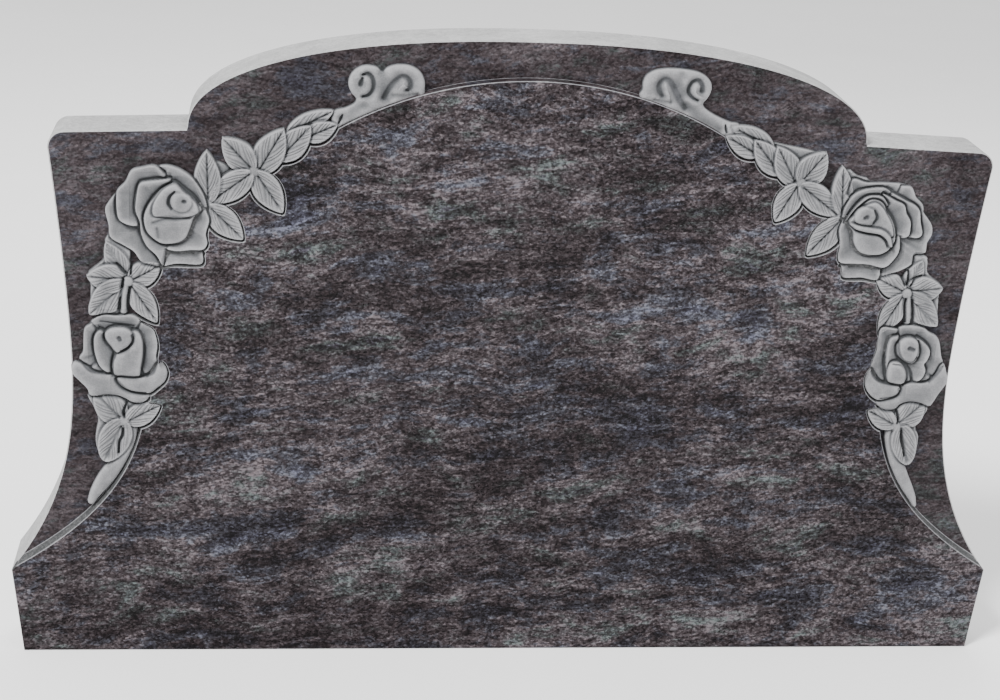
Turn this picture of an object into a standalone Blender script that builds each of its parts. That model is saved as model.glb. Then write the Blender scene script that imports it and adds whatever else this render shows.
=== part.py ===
"""Carved granite headstone, cut in one piece with its two rose garlands.

Metres, +Z up. The front faces -Y, the underside stands on Z = 0 and X = 0 is the centre line.
The slab is drawn from the front as (out, up): out is the distance from the centre line, so one
drawing serves both halves, and the two garlands differ only where the carver let them differ.
"""
import math
from dataclasses import dataclass

import bmesh
import bpy
import numpy as np

# Slab outline
BASE_WIDTH = 1.400
FOOT_WIDTH = 1.374
BASE_HEIGHT = 0.126
WAIST_WIDTH = 1.224
WAIST_HEIGHT = 0.430
SHOULDER_WIDTH = 1.272
SHOULDER_HEIGHT = 0.752
SHOULDER_RADIUS = 0.022
SHOULDER_FALL = 0.006
ARCH_WIDTH = 0.912
ARCH_RISE = 0.129
ARCH_FULLNESS = 2.25
FLARE_CURVE = 2.6
NECK_CURVE = 1.4
THICKNESS = 0.100
ARRIS = 0.002

# Raised inner panel and the sunk field around it
FIELD_WIDTH = 0.098
CROWN_MARGIN = 0.051
PANEL_FLARE_HEIGHT = 0.390
PANEL_FLARE_CURVE = 2.62
PANEL_CORNER_INSET = 0.003
FIELD_DEPTH = 0.014
STEP_RUN = 0.0012
STEP_RUN_AT_BASE = 0.0045

# Garlands. They are drawn below for a panel of this radius and centre, and for a field of this depth.
LAYOUT_RADIUS = 0.514
LAYOUT_CENTRE_HEIGHT = 0.322
LAYOUT_DEPTH = 0.014
# Behind a garland the panel's edge leaves its arc and runs under leaves and roses: (out, up), from
# below. The first and the last place lie on the arc.
HIDDEN_EDGE = ((0.5003, 0.4400), (0.5120, 0.4620), (0.5190, 0.4850), (0.5230, 0.5300), (0.5080, 0.5640),
               (0.4920, 0.5780), (0.4770, 0.6000), (0.4680, 0.6400), (0.4520, 0.6540), (0.4300, 0.6600),
               (0.4040, 0.6770), (0.3840, 0.6940), (0.3680, 0.7060), (0.3460, 0.7200), (0.3250, 0.7350),
               (0.3000, 0.7394))
ROOTING = 0.004
LIP_ROLL = 0.0012
POCKET_GAP = 0.0025
POCKET_FLOOR = 0.003
PETAL_CUP = 2.4
LEAF_CREASE = 0.0016
LEAF_BELLY = 0.0012
LEAF_SWELL = 0.88
LEAF_BLUNTNESS = 0.64
LEAF_LEAST_WIDTH = 0.04
HUB_RADIUS = 0.0055
VOLUTE_CORD = 0.0086
VOLUTE_EYE = 0.0048
VOLUTE_TURNS = 1.20
VOLUTE_TAPER = 0.12
RIBBON_EDGE = 0.62
BOSS_EDGE = 0.85
BOSS_FLAT = 0.80
DOME_SHOULDER = (0.86, 0.55)
DOME_FLAT = 0.45

# How finely the solid is faceted
FLARE_STEPS = 12
NECK_STEPS = 7
CORNER_STEPS = 4
ARCH_STEPS = 20
PANEL_ARC_STEPS = 24
PANEL_FLARE_STEPS = 12
LEAF_LENGTH_STEPS = 5
PETAL_LIP_STEPS = 4
PETAL_DEPTHS = (0.28, 0.80, 1.0)
DOME_STEPS = 10
HUB_STEPS = 6
VOLUTE_RIM_STEPS = 14
STEM_STEPS = 7
VOLUTE_STEPS = 13
CUTTER_REACH = 0.030
CUTTER_LEAD = 0.4

STONE_COLOUR = (0.052, 0.048, 0.056, 1.0)
STONE_ROUGHNESS = 0.28


@dataclass(frozen=True)
class Leaf:
    """A pointed leaf, from its base to its tip, as wide as it is at its belly."""

    base: tuple
    tip: tuple
    width: float
    height: float = 0.0110


@dataclass(frozen=True)
class Petal:
    """A cupped petal: a lip drawn through a few points, fanned out from a pivot under the bud."""

    lip: tuple
    pivot: tuple
    height: float
    root: float = 0.0025


@dataclass(frozen=True)
class Dome:
    """A rounded, closed form, such as the ball of a bud: its edge and its crown height."""

    edge_line: tuple
    edge: float
    crown: float


@dataclass(frozen=True)
class Volute:
    """A scroll end: a disc, and a cord that leads in over (out, up, width) and winds inwards on it."""

    centre: tuple
    radius: float
    start: float
    turn: int
    lead: tuple


LEFT_LEAVES = (
    Leaf((0.325, 0.757), (0.266, 0.789), 0.026, 0.0085),
    Leaf((0.303, 0.751), (0.260, 0.771), 0.027, 0.0090),
    Leaf((0.336, 0.722), (0.295, 0.768), 0.036, 0.0100),
    Leaf((0.364, 0.703), (0.330, 0.763), 0.040, 0.0108),
    Leaf((0.369, 0.706), (0.409, 0.749), 0.038, 0.0104),
    Leaf((0.367, 0.705), (0.330, 0.650), 0.037, 0.0112),
    Leaf((0.371, 0.704), (0.427, 0.661), 0.036, 0.0112),
    Leaf((0.428, 0.661), (0.430, 0.731), 0.035, 0.0100),
    Leaf((0.428, 0.657), (0.382, 0.612), 0.036, 0.0110),
    Leaf((0.536, 0.552), (0.562, 0.604), 0.030, 0.0088),
    Leaf((0.535, 0.551), (0.588, 0.557), 0.040, 0.0106),
    Leaf((0.535, 0.549), (0.586, 0.503), 0.042, 0.0098),
    Leaf((0.533, 0.550), (0.490, 0.574), 0.033, 0.0108),
    Leaf((0.532, 0.547), (0.496, 0.493), 0.033, 0.0106),
    Leaf((0.541, 0.347), (0.582, 0.392), 0.040, 0.0104),
    Leaf((0.540, 0.348), (0.493, 0.374), 0.031, 0.0110),
    Leaf((0.542, 0.347), (0.571, 0.291), 0.035, 0.0100),
)

RIGHT_LEAVES = (
    Leaf((0.325, 0.752), (0.266, 0.781), 0.028, 0.0085),
    Leaf((0.306, 0.742), (0.259, 0.768), 0.027, 0.0090),
    Leaf((0.338, 0.717), (0.299, 0.763), 0.034, 0.0100),
    Leaf((0.362, 0.702), (0.331, 0.755), 0.036, 0.0108),
    Leaf((0.366, 0.704), (0.399, 0.748), 0.041, 0.0104),
    Leaf((0.364, 0.703), (0.336, 0.651), 0.037, 0.0112),
    Leaf((0.367, 0.703), (0.425, 0.660), 0.036, 0.0112),
    Leaf((0.430, 0.660), (0.424, 0.729), 0.031, 0.0100),
    Leaf((0.430, 0.656), (0.385, 0.604), 0.038, 0.0110),
    Leaf((0.533, 0.553), (0.551, 0.598), 0.026, 0.0088),
    Leaf((0.532, 0.552), (0.584, 0.559), 0.040, 0.0106),
    Leaf((0.533, 0.549), (0.583, 0.503), 0.039, 0.0098),
    Leaf((0.531, 0.552), (0.488, 0.572), 0.033, 0.0108),
    Leaf((0.530, 0.548), (0.500, 0.490), 0.034, 0.0106),
    Leaf((0.544, 0.354), (0.580, 0.388), 0.038, 0.0104),
    Leaf((0.541, 0.352), (0.497, 0.376), 0.030, 0.0110),
    Leaf((0.548, 0.350), (0.566, 0.294), 0.035, 0.0100),
)

LEFT_UPPER_ROSE = (
    Petal(((0.548, 0.671), (0.557, 0.659), (0.562, 0.648), (0.558, 0.628), (0.556, 0.611),
          (0.540, 0.601), (0.526, 0.592), (0.516, 0.578), (0.502, 0.574), (0.491, 0.571)),
          (0.492, 0.640), 0.0080),
    Petal(((0.489, 0.571), (0.468, 0.576), (0.437, 0.576), (0.436, 0.597)), (0.470, 0.612), 0.0078),
    Petal(((0.500, 0.707), (0.482, 0.710), (0.467, 0.706), (0.452, 0.697), (0.443, 0.687),
          (0.434, 0.671), (0.430, 0.656), (0.432, 0.648)), (0.474, 0.655), 0.0090),
    Petal(((0.519, 0.627), (0.532, 0.629), (0.544, 0.636), (0.547, 0.652), (0.547, 0.668),
          (0.545, 0.676), (0.535, 0.687), (0.527, 0.702), (0.513, 0.707), (0.497, 0.709),
          (0.484, 0.698)), (0.482, 0.655), 0.0098),
    Petal(((0.432, 0.652), (0.427, 0.638), (0.431, 0.619), (0.429, 0.606), (0.435, 0.597),
          (0.452, 0.596), (0.470, 0.594), (0.490, 0.598)), (0.474, 0.638), 0.0102, 0.0030),
    Petal(((0.477, 0.692), (0.492, 0.690), (0.508, 0.688), (0.517, 0.684), (0.521, 0.665),
          (0.522, 0.648), (0.517, 0.633), (0.515, 0.616), (0.508, 0.600), (0.496, 0.588),
          (0.488, 0.573)), (0.474, 0.640), 0.0116, 0.0035),
    Dome(((0.472, 0.687), (0.461, 0.678), (0.448, 0.668), (0.441, 0.658), (0.437, 0.651),
          (0.447, 0.641), (0.452, 0.627), (0.458, 0.613), (0.469, 0.606), (0.485, 0.604),
          (0.496, 0.608), (0.508, 0.620), (0.512, 0.637), (0.508, 0.652), (0.498, 0.667),
          (0.487, 0.680)), 0.0095, 0.0128),
    Dome(((0.471, 0.685), (0.461, 0.676), (0.449, 0.666), (0.442, 0.656), (0.442, 0.648),
          (0.455, 0.642), (0.470, 0.640), (0.487, 0.642), (0.499, 0.643), (0.500, 0.655),
          (0.494, 0.668), (0.484, 0.680)), 0.0122, 0.0133),
    Dome(((0.472, 0.673), (0.462, 0.674), (0.452, 0.669), (0.449, 0.660), (0.455, 0.651),
          (0.466, 0.649), (0.475, 0.655), (0.477, 0.665)), 0.0128, 0.0138),
)

RIGHT_UPPER_ROSE = (
    Petal(((0.436, 0.690), (0.440, 0.711), (0.460, 0.707), (0.482, 0.707), (0.508, 0.706),
          (0.522, 0.702)), (0.480, 0.655), 0.0070),
    Petal(((0.508, 0.703), (0.523, 0.702), (0.531, 0.688), (0.542, 0.677), (0.544, 0.667),
          (0.552, 0.657), (0.558, 0.648), (0.559, 0.636), (0.554, 0.624), (0.553, 0.609),
          (0.538, 0.606), (0.536, 0.594), (0.520, 0.583), (0.502, 0.577), (0.492, 0.573)),
          (0.492, 0.640), 0.0080),
    Petal(((0.492, 0.600), (0.490, 0.570), (0.466, 0.572), (0.440, 0.572), (0.437, 0.587),
          (0.431, 0.594)), (0.466, 0.612), 0.0074),
    Petal(((0.489, 0.697), (0.517, 0.683), (0.530, 0.677), (0.538, 0.669), (0.541, 0.653),
          (0.545, 0.637), (0.538, 0.631), (0.524, 0.632)), (0.486, 0.650), 0.0092),
    Petal(((0.430, 0.654), (0.433, 0.672), (0.441, 0.687), (0.452, 0.695), (0.466, 0.699),
          (0.484, 0.700), (0.496, 0.694)), (0.474, 0.652), 0.0094),
    Petal(((0.484, 0.692), (0.502, 0.683), (0.515, 0.677), (0.519, 0.666), (0.526, 0.655),
          (0.527, 0.646), (0.525, 0.634), (0.509, 0.628)), (0.480, 0.648), 0.0106),
    Petal(((0.433, 0.655), (0.428, 0.640), (0.431, 0.622), (0.429, 0.604), (0.434, 0.594),
          (0.452, 0.593), (0.474, 0.592), (0.496, 0.588), (0.508, 0.598), (0.515, 0.612),
          (0.514, 0.632)), (0.474, 0.640), 0.0104, 0.0030),
    Petal(((0.436, 0.651), (0.445, 0.668), (0.458, 0.684), (0.470, 0.689), (0.484, 0.687),
          (0.493, 0.676)), (0.474, 0.652), 0.0112, 0.0040),
    Dome(((0.440, 0.651), (0.448, 0.664), (0.458, 0.676), (0.467, 0.683), (0.478, 0.683),
          (0.487, 0.677), (0.492, 0.667), (0.499, 0.658), (0.505, 0.646), (0.508, 0.630),
          (0.504, 0.617), (0.490, 0.607), (0.472, 0.606), (0.458, 0.611), (0.450, 0.624),
          (0.448, 0.637), (0.442, 0.645)), 0.0095, 0.0126),
    Dome(((0.441, 0.652), (0.450, 0.665), (0.461, 0.675), (0.474, 0.680), (0.484, 0.674),
          (0.492, 0.663), (0.500, 0.650), (0.504, 0.634), (0.497, 0.632), (0.484, 0.636),
          (0.463, 0.640), (0.449, 0.645)), 0.0118, 0.0131),
    Dome(((0.462, 0.674), (0.474, 0.669), (0.478, 0.659), (0.473, 0.650), (0.461, 0.648),
          (0.450, 0.652), (0.447, 0.660), (0.452, 0.670)), 0.0128, 0.0138),
)

LEFT_LOWER_ROSE = (
    Dome(((0.516, 0.486), (0.548, 0.492), (0.580, 0.480), (0.588, 0.440), (0.582, 0.404),
          (0.548, 0.398), (0.514, 0.404), (0.506, 0.440)), 0.0070, 0.0078),
    Petal(((0.590, 0.482), (0.584, 0.491), (0.577, 0.498), (0.565, 0.502), (0.550, 0.501),
          (0.530, 0.502), (0.520, 0.497), (0.515, 0.487), (0.515, 0.472)), (0.550, 0.456), 0.0088),
    Petal(((0.518, 0.492), (0.503, 0.485), (0.498, 0.474), (0.496, 0.459), (0.498, 0.446),
          (0.497, 0.433), (0.503, 0.420), (0.514, 0.416)), (0.540, 0.450), 0.0092),
    Petal(((0.583, 0.489), (0.592, 0.482), (0.594, 0.466), (0.595, 0.449), (0.600, 0.438),
          (0.590, 0.425)), (0.552, 0.448), 0.0090),
    Petal(((0.566, 0.477), (0.573, 0.479), (0.579, 0.471), (0.580, 0.457), (0.578, 0.443),
          (0.572, 0.428), (0.560, 0.417)), (0.545, 0.446), 0.0110, 0.0040),
    Dome(((0.532, 0.478), (0.529, 0.467), (0.535, 0.457), (0.545, 0.451), (0.552, 0.447),
          (0.556, 0.436), (0.557, 0.424), (0.551, 0.412), (0.535, 0.409), (0.522, 0.412),
          (0.519, 0.430), (0.516, 0.452), (0.517, 0.470), (0.523, 0.479)), 0.0100, 0.0130),
    Dome(((0.566, 0.474), (0.560, 0.482), (0.548, 0.485), (0.536, 0.483), (0.529, 0.475),
          (0.531, 0.464), (0.538, 0.456), (0.547, 0.451), (0.553, 0.450), (0.558, 0.457),
          (0.564, 0.465)), 0.0112, 0.0134),
    Petal(((0.605, 0.434), (0.610, 0.426), (0.609, 0.417), (0.600, 0.407), (0.591, 0.397),
          (0.586, 0.386), (0.566, 0.388), (0.547, 0.386), (0.537, 0.380), (0.527, 0.376),
          (0.514, 0.381), (0.503, 0.391)), (0.548, 0.424), 0.0080, 0.0112),
    Petal(((0.493, 0.437), (0.485, 0.429), (0.483, 0.420), (0.487, 0.408), (0.498, 0.399),
          (0.508, 0.391), (0.525, 0.391), (0.540, 0.396), (0.549, 0.405)), (0.530, 0.420), 0.0104,
          0.0118),
)

RIGHT_LOWER_ROSE = (
    Dome(((0.516, 0.486), (0.548, 0.492), (0.580, 0.480), (0.588, 0.440), (0.582, 0.404),
          (0.548, 0.398), (0.514, 0.404), (0.506, 0.440)), 0.0070, 0.0078),
    Petal(((0.520, 0.494), (0.533, 0.501), (0.550, 0.502), (0.565, 0.499), (0.573, 0.493),
          (0.584, 0.487), (0.590, 0.478), (0.595, 0.458), (0.600, 0.443), (0.588, 0.424)),
          (0.550, 0.452), 0.0088),
    Petal(((0.528, 0.497), (0.505, 0.499), (0.500, 0.482), (0.500, 0.466), (0.496, 0.450),
          (0.495, 0.436), (0.504, 0.421), (0.518, 0.416)), (0.540, 0.450), 0.0092),
    Petal(((0.530, 0.487), (0.519, 0.482), (0.516, 0.464), (0.518, 0.440), (0.524, 0.424),
          (0.536, 0.414)), (0.546, 0.448), 0.0108, 0.0040),
    Petal(((0.556, 0.484), (0.568, 0.477), (0.577, 0.466), (0.575, 0.453), (0.571, 0.446),
          (0.574, 0.436), (0.570, 0.424), (0.560, 0.415)), (0.545, 0.446), 0.0108, 0.0040),
    Dome(((0.522, 0.446), (0.534, 0.448), (0.543, 0.441), (0.548, 0.430), (0.547, 0.418),
          (0.538, 0.411), (0.526, 0.414), (0.520, 0.428)), 0.0100, 0.0128),
    Dome(((0.530, 0.474), (0.532, 0.460), (0.541, 0.451), (0.553, 0.447), (0.560, 0.454),
          (0.562, 0.466), (0.558, 0.479), (0.548, 0.485), (0.537, 0.483)), 0.0112, 0.0134),
    Petal(((0.600, 0.446), (0.606, 0.433), (0.609, 0.420), (0.604, 0.411), (0.598, 0.401),
          (0.592, 0.388), (0.587, 0.382), (0.573, 0.387), (0.558, 0.389), (0.545, 0.385),
          (0.536, 0.377), (0.521, 0.377), (0.512, 0.386)), (0.552, 0.424), 0.0080, 0.0112),
    Petal(((0.496, 0.438), (0.489, 0.425), (0.491, 0.411), (0.500, 0.398), (0.512, 0.391),
          (0.532, 0.394), (0.540, 0.403)), (0.530, 0.420), 0.0104, 0.0118),
)

# Stems as (out, up, width) from the leaves down to the panel's corner line
LEFT_STEM = ((0.530, 0.350, 0.016), (0.533, 0.322, 0.015), (0.541, 0.300, 0.015), (0.557, 0.281, 0.017),
             (0.571, 0.260, 0.017), (0.583, 0.239, 0.012), (0.590, 0.225, 0.004))
RIGHT_STEM = ((0.533, 0.350, 0.012), (0.537, 0.330, 0.011), (0.544, 0.308, 0.012), (0.553, 0.291, 0.014),
              (0.562, 0.272, 0.014), (0.572, 0.253, 0.013), (0.581, 0.228, 0.006))
SPRIG_STEM = ((0.535, 0.552, 0.008), (0.539, 0.525, 0.008), (0.541, 0.498, 0.008))
STEM_HEIGHT = 0.0092

# The scroll: its flared neck as (out, up, width), and its two volutes
NECK = ((0.272, 0.770, 0.018), (0.252, 0.779, 0.022), (0.234, 0.790, 0.027), (0.216, 0.802, 0.040),
        (0.202, 0.815, 0.056), (0.196, 0.832, 0.034))
NECK_HEIGHT = 0.0074
VOLUTE_PLATE = 0.0058
VOLUTE_HEIGHT = 0.0100
OUTER_VOLUTE = Volute((0.227, 0.829), 0.0200, 180.0, -1,
                      ((0.258, 0.779, 0.010), (0.236, 0.793, 0.011), (0.219, 0.806, 0.011),
                       (0.2115, 0.819, 0.010)))
INNER_VOLUTE = Volute((0.169, 0.829), 0.0205, 0.0, 1,
                      ((0.240, 0.783, 0.010), (0.219, 0.792, 0.011), (0.198, 0.802, 0.012),
                       (0.187, 0.816, 0.011)))

# Where the leaves of a sprig meet
HUBS = ((0.368, 0.705), (0.429, 0.658), (0.534, 0.550), (0.542, 0.350))
HUB_HEIGHT = 0.0096


def outline():
    """Outline of the slab's right half, from the foot to the crown, as an array of (out, up)."""
    waist, shoulder = WAIST_WIDTH / 2, SHOULDER_WIDTH / 2
    corner_up = SHOULDER_HEIGHT - SHOULDER_RADIUS
    foot = np.array([[FOOT_WIDTH / 2, 0.0]])
    up = np.linspace(BASE_HEIGHT, WAIST_HEIGHT, FLARE_STEPS, endpoint=False)
    below = (WAIST_HEIGHT - up) / (WAIST_HEIGHT - BASE_HEIGHT)
    flare = np.column_stack((waist + (BASE_WIDTH / 2 - waist) * below**FLARE_CURVE, up))
    up = np.linspace(WAIST_HEIGHT, corner_up, NECK_STEPS, endpoint=False)
    above = (up - WAIST_HEIGHT) / (corner_up - WAIST_HEIGHT)
    neck = np.column_stack((waist + (shoulder - waist) * above**NECK_CURVE, up))
    turn = np.linspace(0.0, math.pi / 2, CORNER_STEPS)
    corner = np.column_stack((shoulder - SHOULDER_RADIUS * (1 - np.cos(turn)),
                              corner_up + SHOULDER_RADIUS * np.sin(turn)))
    turn = np.linspace(0.0, math.pi / 2, ARCH_STEPS)
    power = 2 / ARCH_FULLNESS
    arch = np.column_stack((ARCH_WIDTH / 2 * np.cos(turn)**power,
                            SHOULDER_HEIGHT + SHOULDER_FALL + ARCH_RISE * np.sin(turn)**power))
    arch[-1, 0] = 0.0
    return np.concatenate((foot, flare, neck, corner, arch))


def panel_edge():
    """Edge of the panel's right half, from the base corner to the crown: a flare, then an arc.

    The flare leaves the arc along its tangent and swings out further with a power of the way down.
    Behind the garland the arc gives way to the hidden edge.
    """
    centre, radius = panel_centre_height(), panel_radius()
    leaving = math.asin((PANEL_FLARE_HEIGHT - centre) / radius)
    start, slope = radius * math.cos(leaving), math.tan(leaving)
    corner_out, corner_up = BASE_WIDTH / 2 + PANEL_CORNER_INSET, BASE_HEIGHT
    fall = PANEL_FLARE_HEIGHT - corner_up
    swing = corner_out - start - slope * fall
    below = np.linspace(1.0, 0.0, PANEL_FLARE_STEPS, endpoint=False)
    flare = np.column_stack((start + slope * fall * below + swing * below**PANEL_FLARE_CURVE,
                             PANEL_FLARE_HEIGHT - fall * below))
    turn = np.linspace(leaving, math.pi / 2, PANEL_ARC_STEPS)
    arc = np.column_stack((radius * np.cos(turn), centre + radius * np.sin(turn)))
    arc[-1, 0] = 0.0
    hidden = laid_out(HIDDEN_EDGE)
    below, above = arc[:, 1] < hidden[0, 1], arc[:, 1] > hidden[-1, 1]
    return np.concatenate((flare, arc[below], hidden, arc[above]))


def panel_radius():
    """Radius of the panel's arc, which leaves the field its width at the waist."""
    return WAIST_WIDTH / 2 - FIELD_WIDTH


def panel_centre_height():
    """Height of the centre of the panel's arc, which leaves a margin under the crown."""
    return SHOULDER_HEIGHT + SHOULDER_FALL + ARCH_RISE - CROWN_MARGIN - panel_radius()


def mirrored(half):
    """Both halves of a symmetric line that ends on the centre line: right to left over the crown."""
    left = half[-2::-1] * (-1, 1)
    return np.concatenate((half, left))


def inset(line, distance):
    """A closed line moved inwards by a distance, along the mean of its neighbours' directions."""
    ahead = np.roll(line, -1, axis=0) - np.roll(line, 1, axis=0)
    ahead /= np.linalg.norm(ahead, axis=1)[:, None]
    return line + distance * np.column_stack((-ahead[:, 1], ahead[:, 0]))


def smooth_line(points, count, closed=False):
    """A line through the points, rounded as a Catmull-Rom curve, at evenly spaced places along it."""
    points = np.asarray(points, float)
    if closed:
        held = np.concatenate((points[-1:], points, points[:2]))
    else:
        held = np.concatenate((2 * points[:1] - points[1:2], points, 2 * points[-1:] - points[-2:-1]))
    share = np.linspace(0.0, 1.0, 8, endpoint=False)[:, None]
    before, start, end, after = (held[k:len(held) - 3 + k, None, :] for k in range(4))
    bend = 2 * before - 5 * start + 4 * end - after
    twist = 3 * start - before - 3 * end + after
    fine = 0.5 * (2 * start + (end - before) * share + bend * share**2 + twist * share**3)
    fine = np.concatenate((fine.reshape(-1, points.shape[1]), points[:1] if closed else points[-1:]))
    run = np.concatenate(([0.0], np.cumsum(np.linalg.norm(np.diff(fine, axis=0), axis=1))))
    places = np.linspace(0.0, run[-1], count, endpoint=not closed)
    return np.column_stack([np.interp(places, run, fine[:, k]) for k in range(points.shape[1])])


def laid_out(places):
    """Garland places as drawn, carried to the panel's own centre and radius."""
    scale = panel_radius() / LAYOUT_RADIUS
    shift = np.array((0.0, panel_centre_height() - LAYOUT_CENTRE_HEIGHT * scale))
    return np.asarray(places, float) * scale + shift


def at_height(side, places, heights):
    """World points of places on one side of the stone, at heights over the sunk field."""
    places = laid_out(places)
    heights = np.broadcast_to(heights, len(places)) * FIELD_DEPTH / LAYOUT_DEPTH
    front = -THICKNESS / 2 + FIELD_DEPTH
    return np.column_stack((side * places[:, 0], front - heights, places[:, 1]))


def new_object(name, shape, collection):
    """Finish a bmesh into an object with its faces pointing out."""
    bmesh.ops.recalc_face_normals(shape, faces=shape.faces)
    mesh = bpy.data.meshes.new(name)
    shape.to_mesh(mesh)
    shape.free()
    result = bpy.data.objects.new(name, mesh)
    collection.objects.link(result)
    return result


def stacked_rings(name, rings, collection):
    """A closed solid through rings of world points, with flat caps on the first and the last."""
    shape = bmesh.new()
    current = bmesh.ops.create_circle(shape, cap_ends=True, segments=len(rings[0]), radius=1.0)["verts"]
    for vert, place in zip(current, rings[0]):
        vert.co = place
    cap = list(shape.faces)[0]
    for number, ring in enumerate(rings[1:]):
        grown = bmesh.ops.extrude_face_region(shape, geom=[cap])["geom"]
        if number:
            bmesh.ops.delete(shape, geom=[cap], context="FACES_ONLY")
        cap = next(item for item in grown if isinstance(item, bmesh.types.BMFace))
        fresh = set(cap.verts)
        current = [next(far for far in (edge.other_vert(vert) for edge in vert.link_edges)
                        if far in fresh) for vert in current]
        for vert, place in zip(current, ring):
            vert.co = place
    return new_object(name, shape, collection)


def raised_grid(name, tops, bottoms, collection):
    """A closed solid between two arrays of world points, each rows x columns x 3."""
    rows, columns = tops.shape[:2]
    shape = bmesh.new()
    bmesh.ops.create_grid(shape, x_segments=columns - 1, y_segments=rows - 1, size=1.0)
    shape.verts.ensure_lookup_table()
    order = [(round((vert.co.y + 1) / 2 * (rows - 1)), round((vert.co.x + 1) / 2 * (columns - 1)))
             for vert in shape.verts]
    under = list(shape.verts)
    grown = bmesh.ops.extrude_face_region(shape, geom=list(shape.faces), use_keep_orig=True)["geom"]
    over = {vert.co.copy().freeze(): vert for vert in grown if isinstance(vert, bmesh.types.BMVert)}
    pairs = [(vert, over[vert.co.copy().freeze()], place) for vert, place in zip(under, order)]
    for low, high, place in pairs:
        low.co = bottoms[place]
        high.co = tops[place]
    return new_object(name, shape, collection)


def leaf_outline(leaf, steps):
    """Half widths of a leaf along its midrib: full before the middle and none at the tip."""
    share = np.linspace(0.0, 1.0, steps)
    swell = np.clip(np.sin(math.pi * (0.03 + 0.97 * share)**LEAF_SWELL), 0.0, 1.0)**LEAF_BLUNTNESS
    return share, leaf.width / 2 * np.maximum(swell, LEAF_LEAST_WIDTH)


def leaf_solid(leaf, side, name, collection):
    """A leaf: two bellied halves that meet in a crease along the midrib."""
    base, tip = np.array(leaf.base), np.array(leaf.tip)
    axis = tip - base
    across = np.array((-axis[1], axis[0])) / np.linalg.norm(axis)
    share, half = leaf_outline(leaf, LEAF_LENGTH_STEPS + 1)
    sides = np.array((-1.0, -0.5, 0.0, 0.5, 1.0))
    lifts = np.array((-LEAF_BELLY, 0.0, -LEAF_CREASE, 0.0, -LEAF_BELLY))
    places = base + share[:, None, None] * axis + (half[:, None] * sides)[..., None] * across
    heights = leaf.height + lifts * np.sqrt(half / half.max())[:, None]
    shape = places.shape[:2] + (3,)
    tops = at_height(side, places.reshape(-1, 2), heights.ravel()).reshape(shape)
    bottoms = at_height(side, places.reshape(-1, 2), -ROOTING).reshape(shape)
    return raised_grid(name, tops, bottoms, collection)


def lip_steps(petal):
    """How many places a petal's lip is built through: more where it was drawn with more."""
    return PETAL_LIP_STEPS + len(petal.lip) // 2


def petal_solid(petal, side, name, collection):
    """A cupped petal: low over its pivot, rising to a lip that rolls over a little."""
    lip = smooth_line(petal.lip, lip_steps(petal))
    pivot = np.array(petal.pivot)
    depth = np.array(PETAL_DEPTHS)
    places = pivot + (lip - pivot)[None] * depth[:, None, None]
    rise = petal.root + (petal.height - petal.root) * depth**PETAL_CUP
    rise[-1] -= LIP_ROLL
    heights = np.repeat(rise[:, None], len(lip), axis=1)
    shape = places.shape[:2] + (3,)
    tops = at_height(side, places.reshape(-1, 2), heights.ravel()).reshape(shape)
    bottoms = at_height(side, places.reshape(-1, 2), -ROOTING).reshape(shape)
    return raised_grid(name, tops, bottoms, collection)


def dome_solid(dome, side, name, collection):
    """A rounded, closed form in rings from its rooted edge up to a small flat crown."""
    edge = smooth_line(dome.edge_line, DOME_STEPS, closed=True)
    middle = edge.mean(axis=0)
    reach, rise = DOME_SHOULDER
    shares = ((1.0, -ROOTING), (1.0, dome.edge), (reach, dome.edge + rise * (dome.crown - dome.edge)),
              (DOME_FLAT, dome.crown))
    rings = [at_height(side, middle + (edge - middle) * share, height) for share, height in shares]
    return stacked_rings(name, rings, collection)


def ribbon_solid(line, height, side, name, collection):
    """A rounded ribbon along points of (out, up, width): a stem, a scroll's neck or its cord."""
    ahead = np.gradient(line[:, :2], axis=0)
    ahead /= np.linalg.norm(ahead, axis=1)[:, None]
    across = np.column_stack((-ahead[:, 1], ahead[:, 0]))
    sides = np.array((-1.0, -0.5, 0.5, 1.0))
    lifts = np.array((RIBBON_EDGE, 1.0, 1.0, RIBBON_EDGE))
    places = line[:, None, :2] + (line[:, None, 2:] / 2 * sides[:, None]) * across[:, None]
    heights = np.repeat((height * lifts)[None], len(line), axis=0)
    shape = places.shape[:2] + (3,)
    tops = at_height(side, places.reshape(-1, 2), heights.ravel()).reshape(shape)
    bottoms = at_height(side, places.reshape(-1, 2), -ROOTING).reshape(shape)
    return raised_grid(name, tops, bottoms, collection)


def volute_line(volute, count):
    """A volute's cord as (out, up, width): its lead, then a spiral from the rim inwards."""
    share = np.linspace(0.0, 1.0, count)
    rim = volute.radius - VOLUTE_CORD / 2
    radius = rim + (VOLUTE_EYE - rim) * share
    angle = math.radians(volute.start) + volute.turn * 2 * math.pi * VOLUTE_TURNS * share
    wound = np.column_stack((volute.centre[0] + radius * np.cos(angle),
                             volute.centre[1] + radius * np.sin(angle),
                             VOLUTE_CORD * (1.0 - VOLUTE_TAPER * share)))
    return np.concatenate((volute.lead, wound))


def disc_solid(centre, radius, height, steps, side, name, collection):
    """A round, slightly domed boss."""
    turn = np.linspace(0.0, 2 * math.pi, steps, endpoint=False)
    rim = radius * np.column_stack((np.cos(turn), np.sin(turn)))
    shares = ((1.0, -ROOTING), (1.0, height * BOSS_EDGE), (BOSS_FLAT, height))
    rings = [at_height(side, np.array(centre) + rim * share, up) for share, up in shares]
    return stacked_rings(name, rings, collection)


def upright(line, depth):
    """World points of a front-view line at one depth."""
    return np.column_stack((line[:, 0], np.full(len(line), depth), line[:, 1]))


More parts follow.
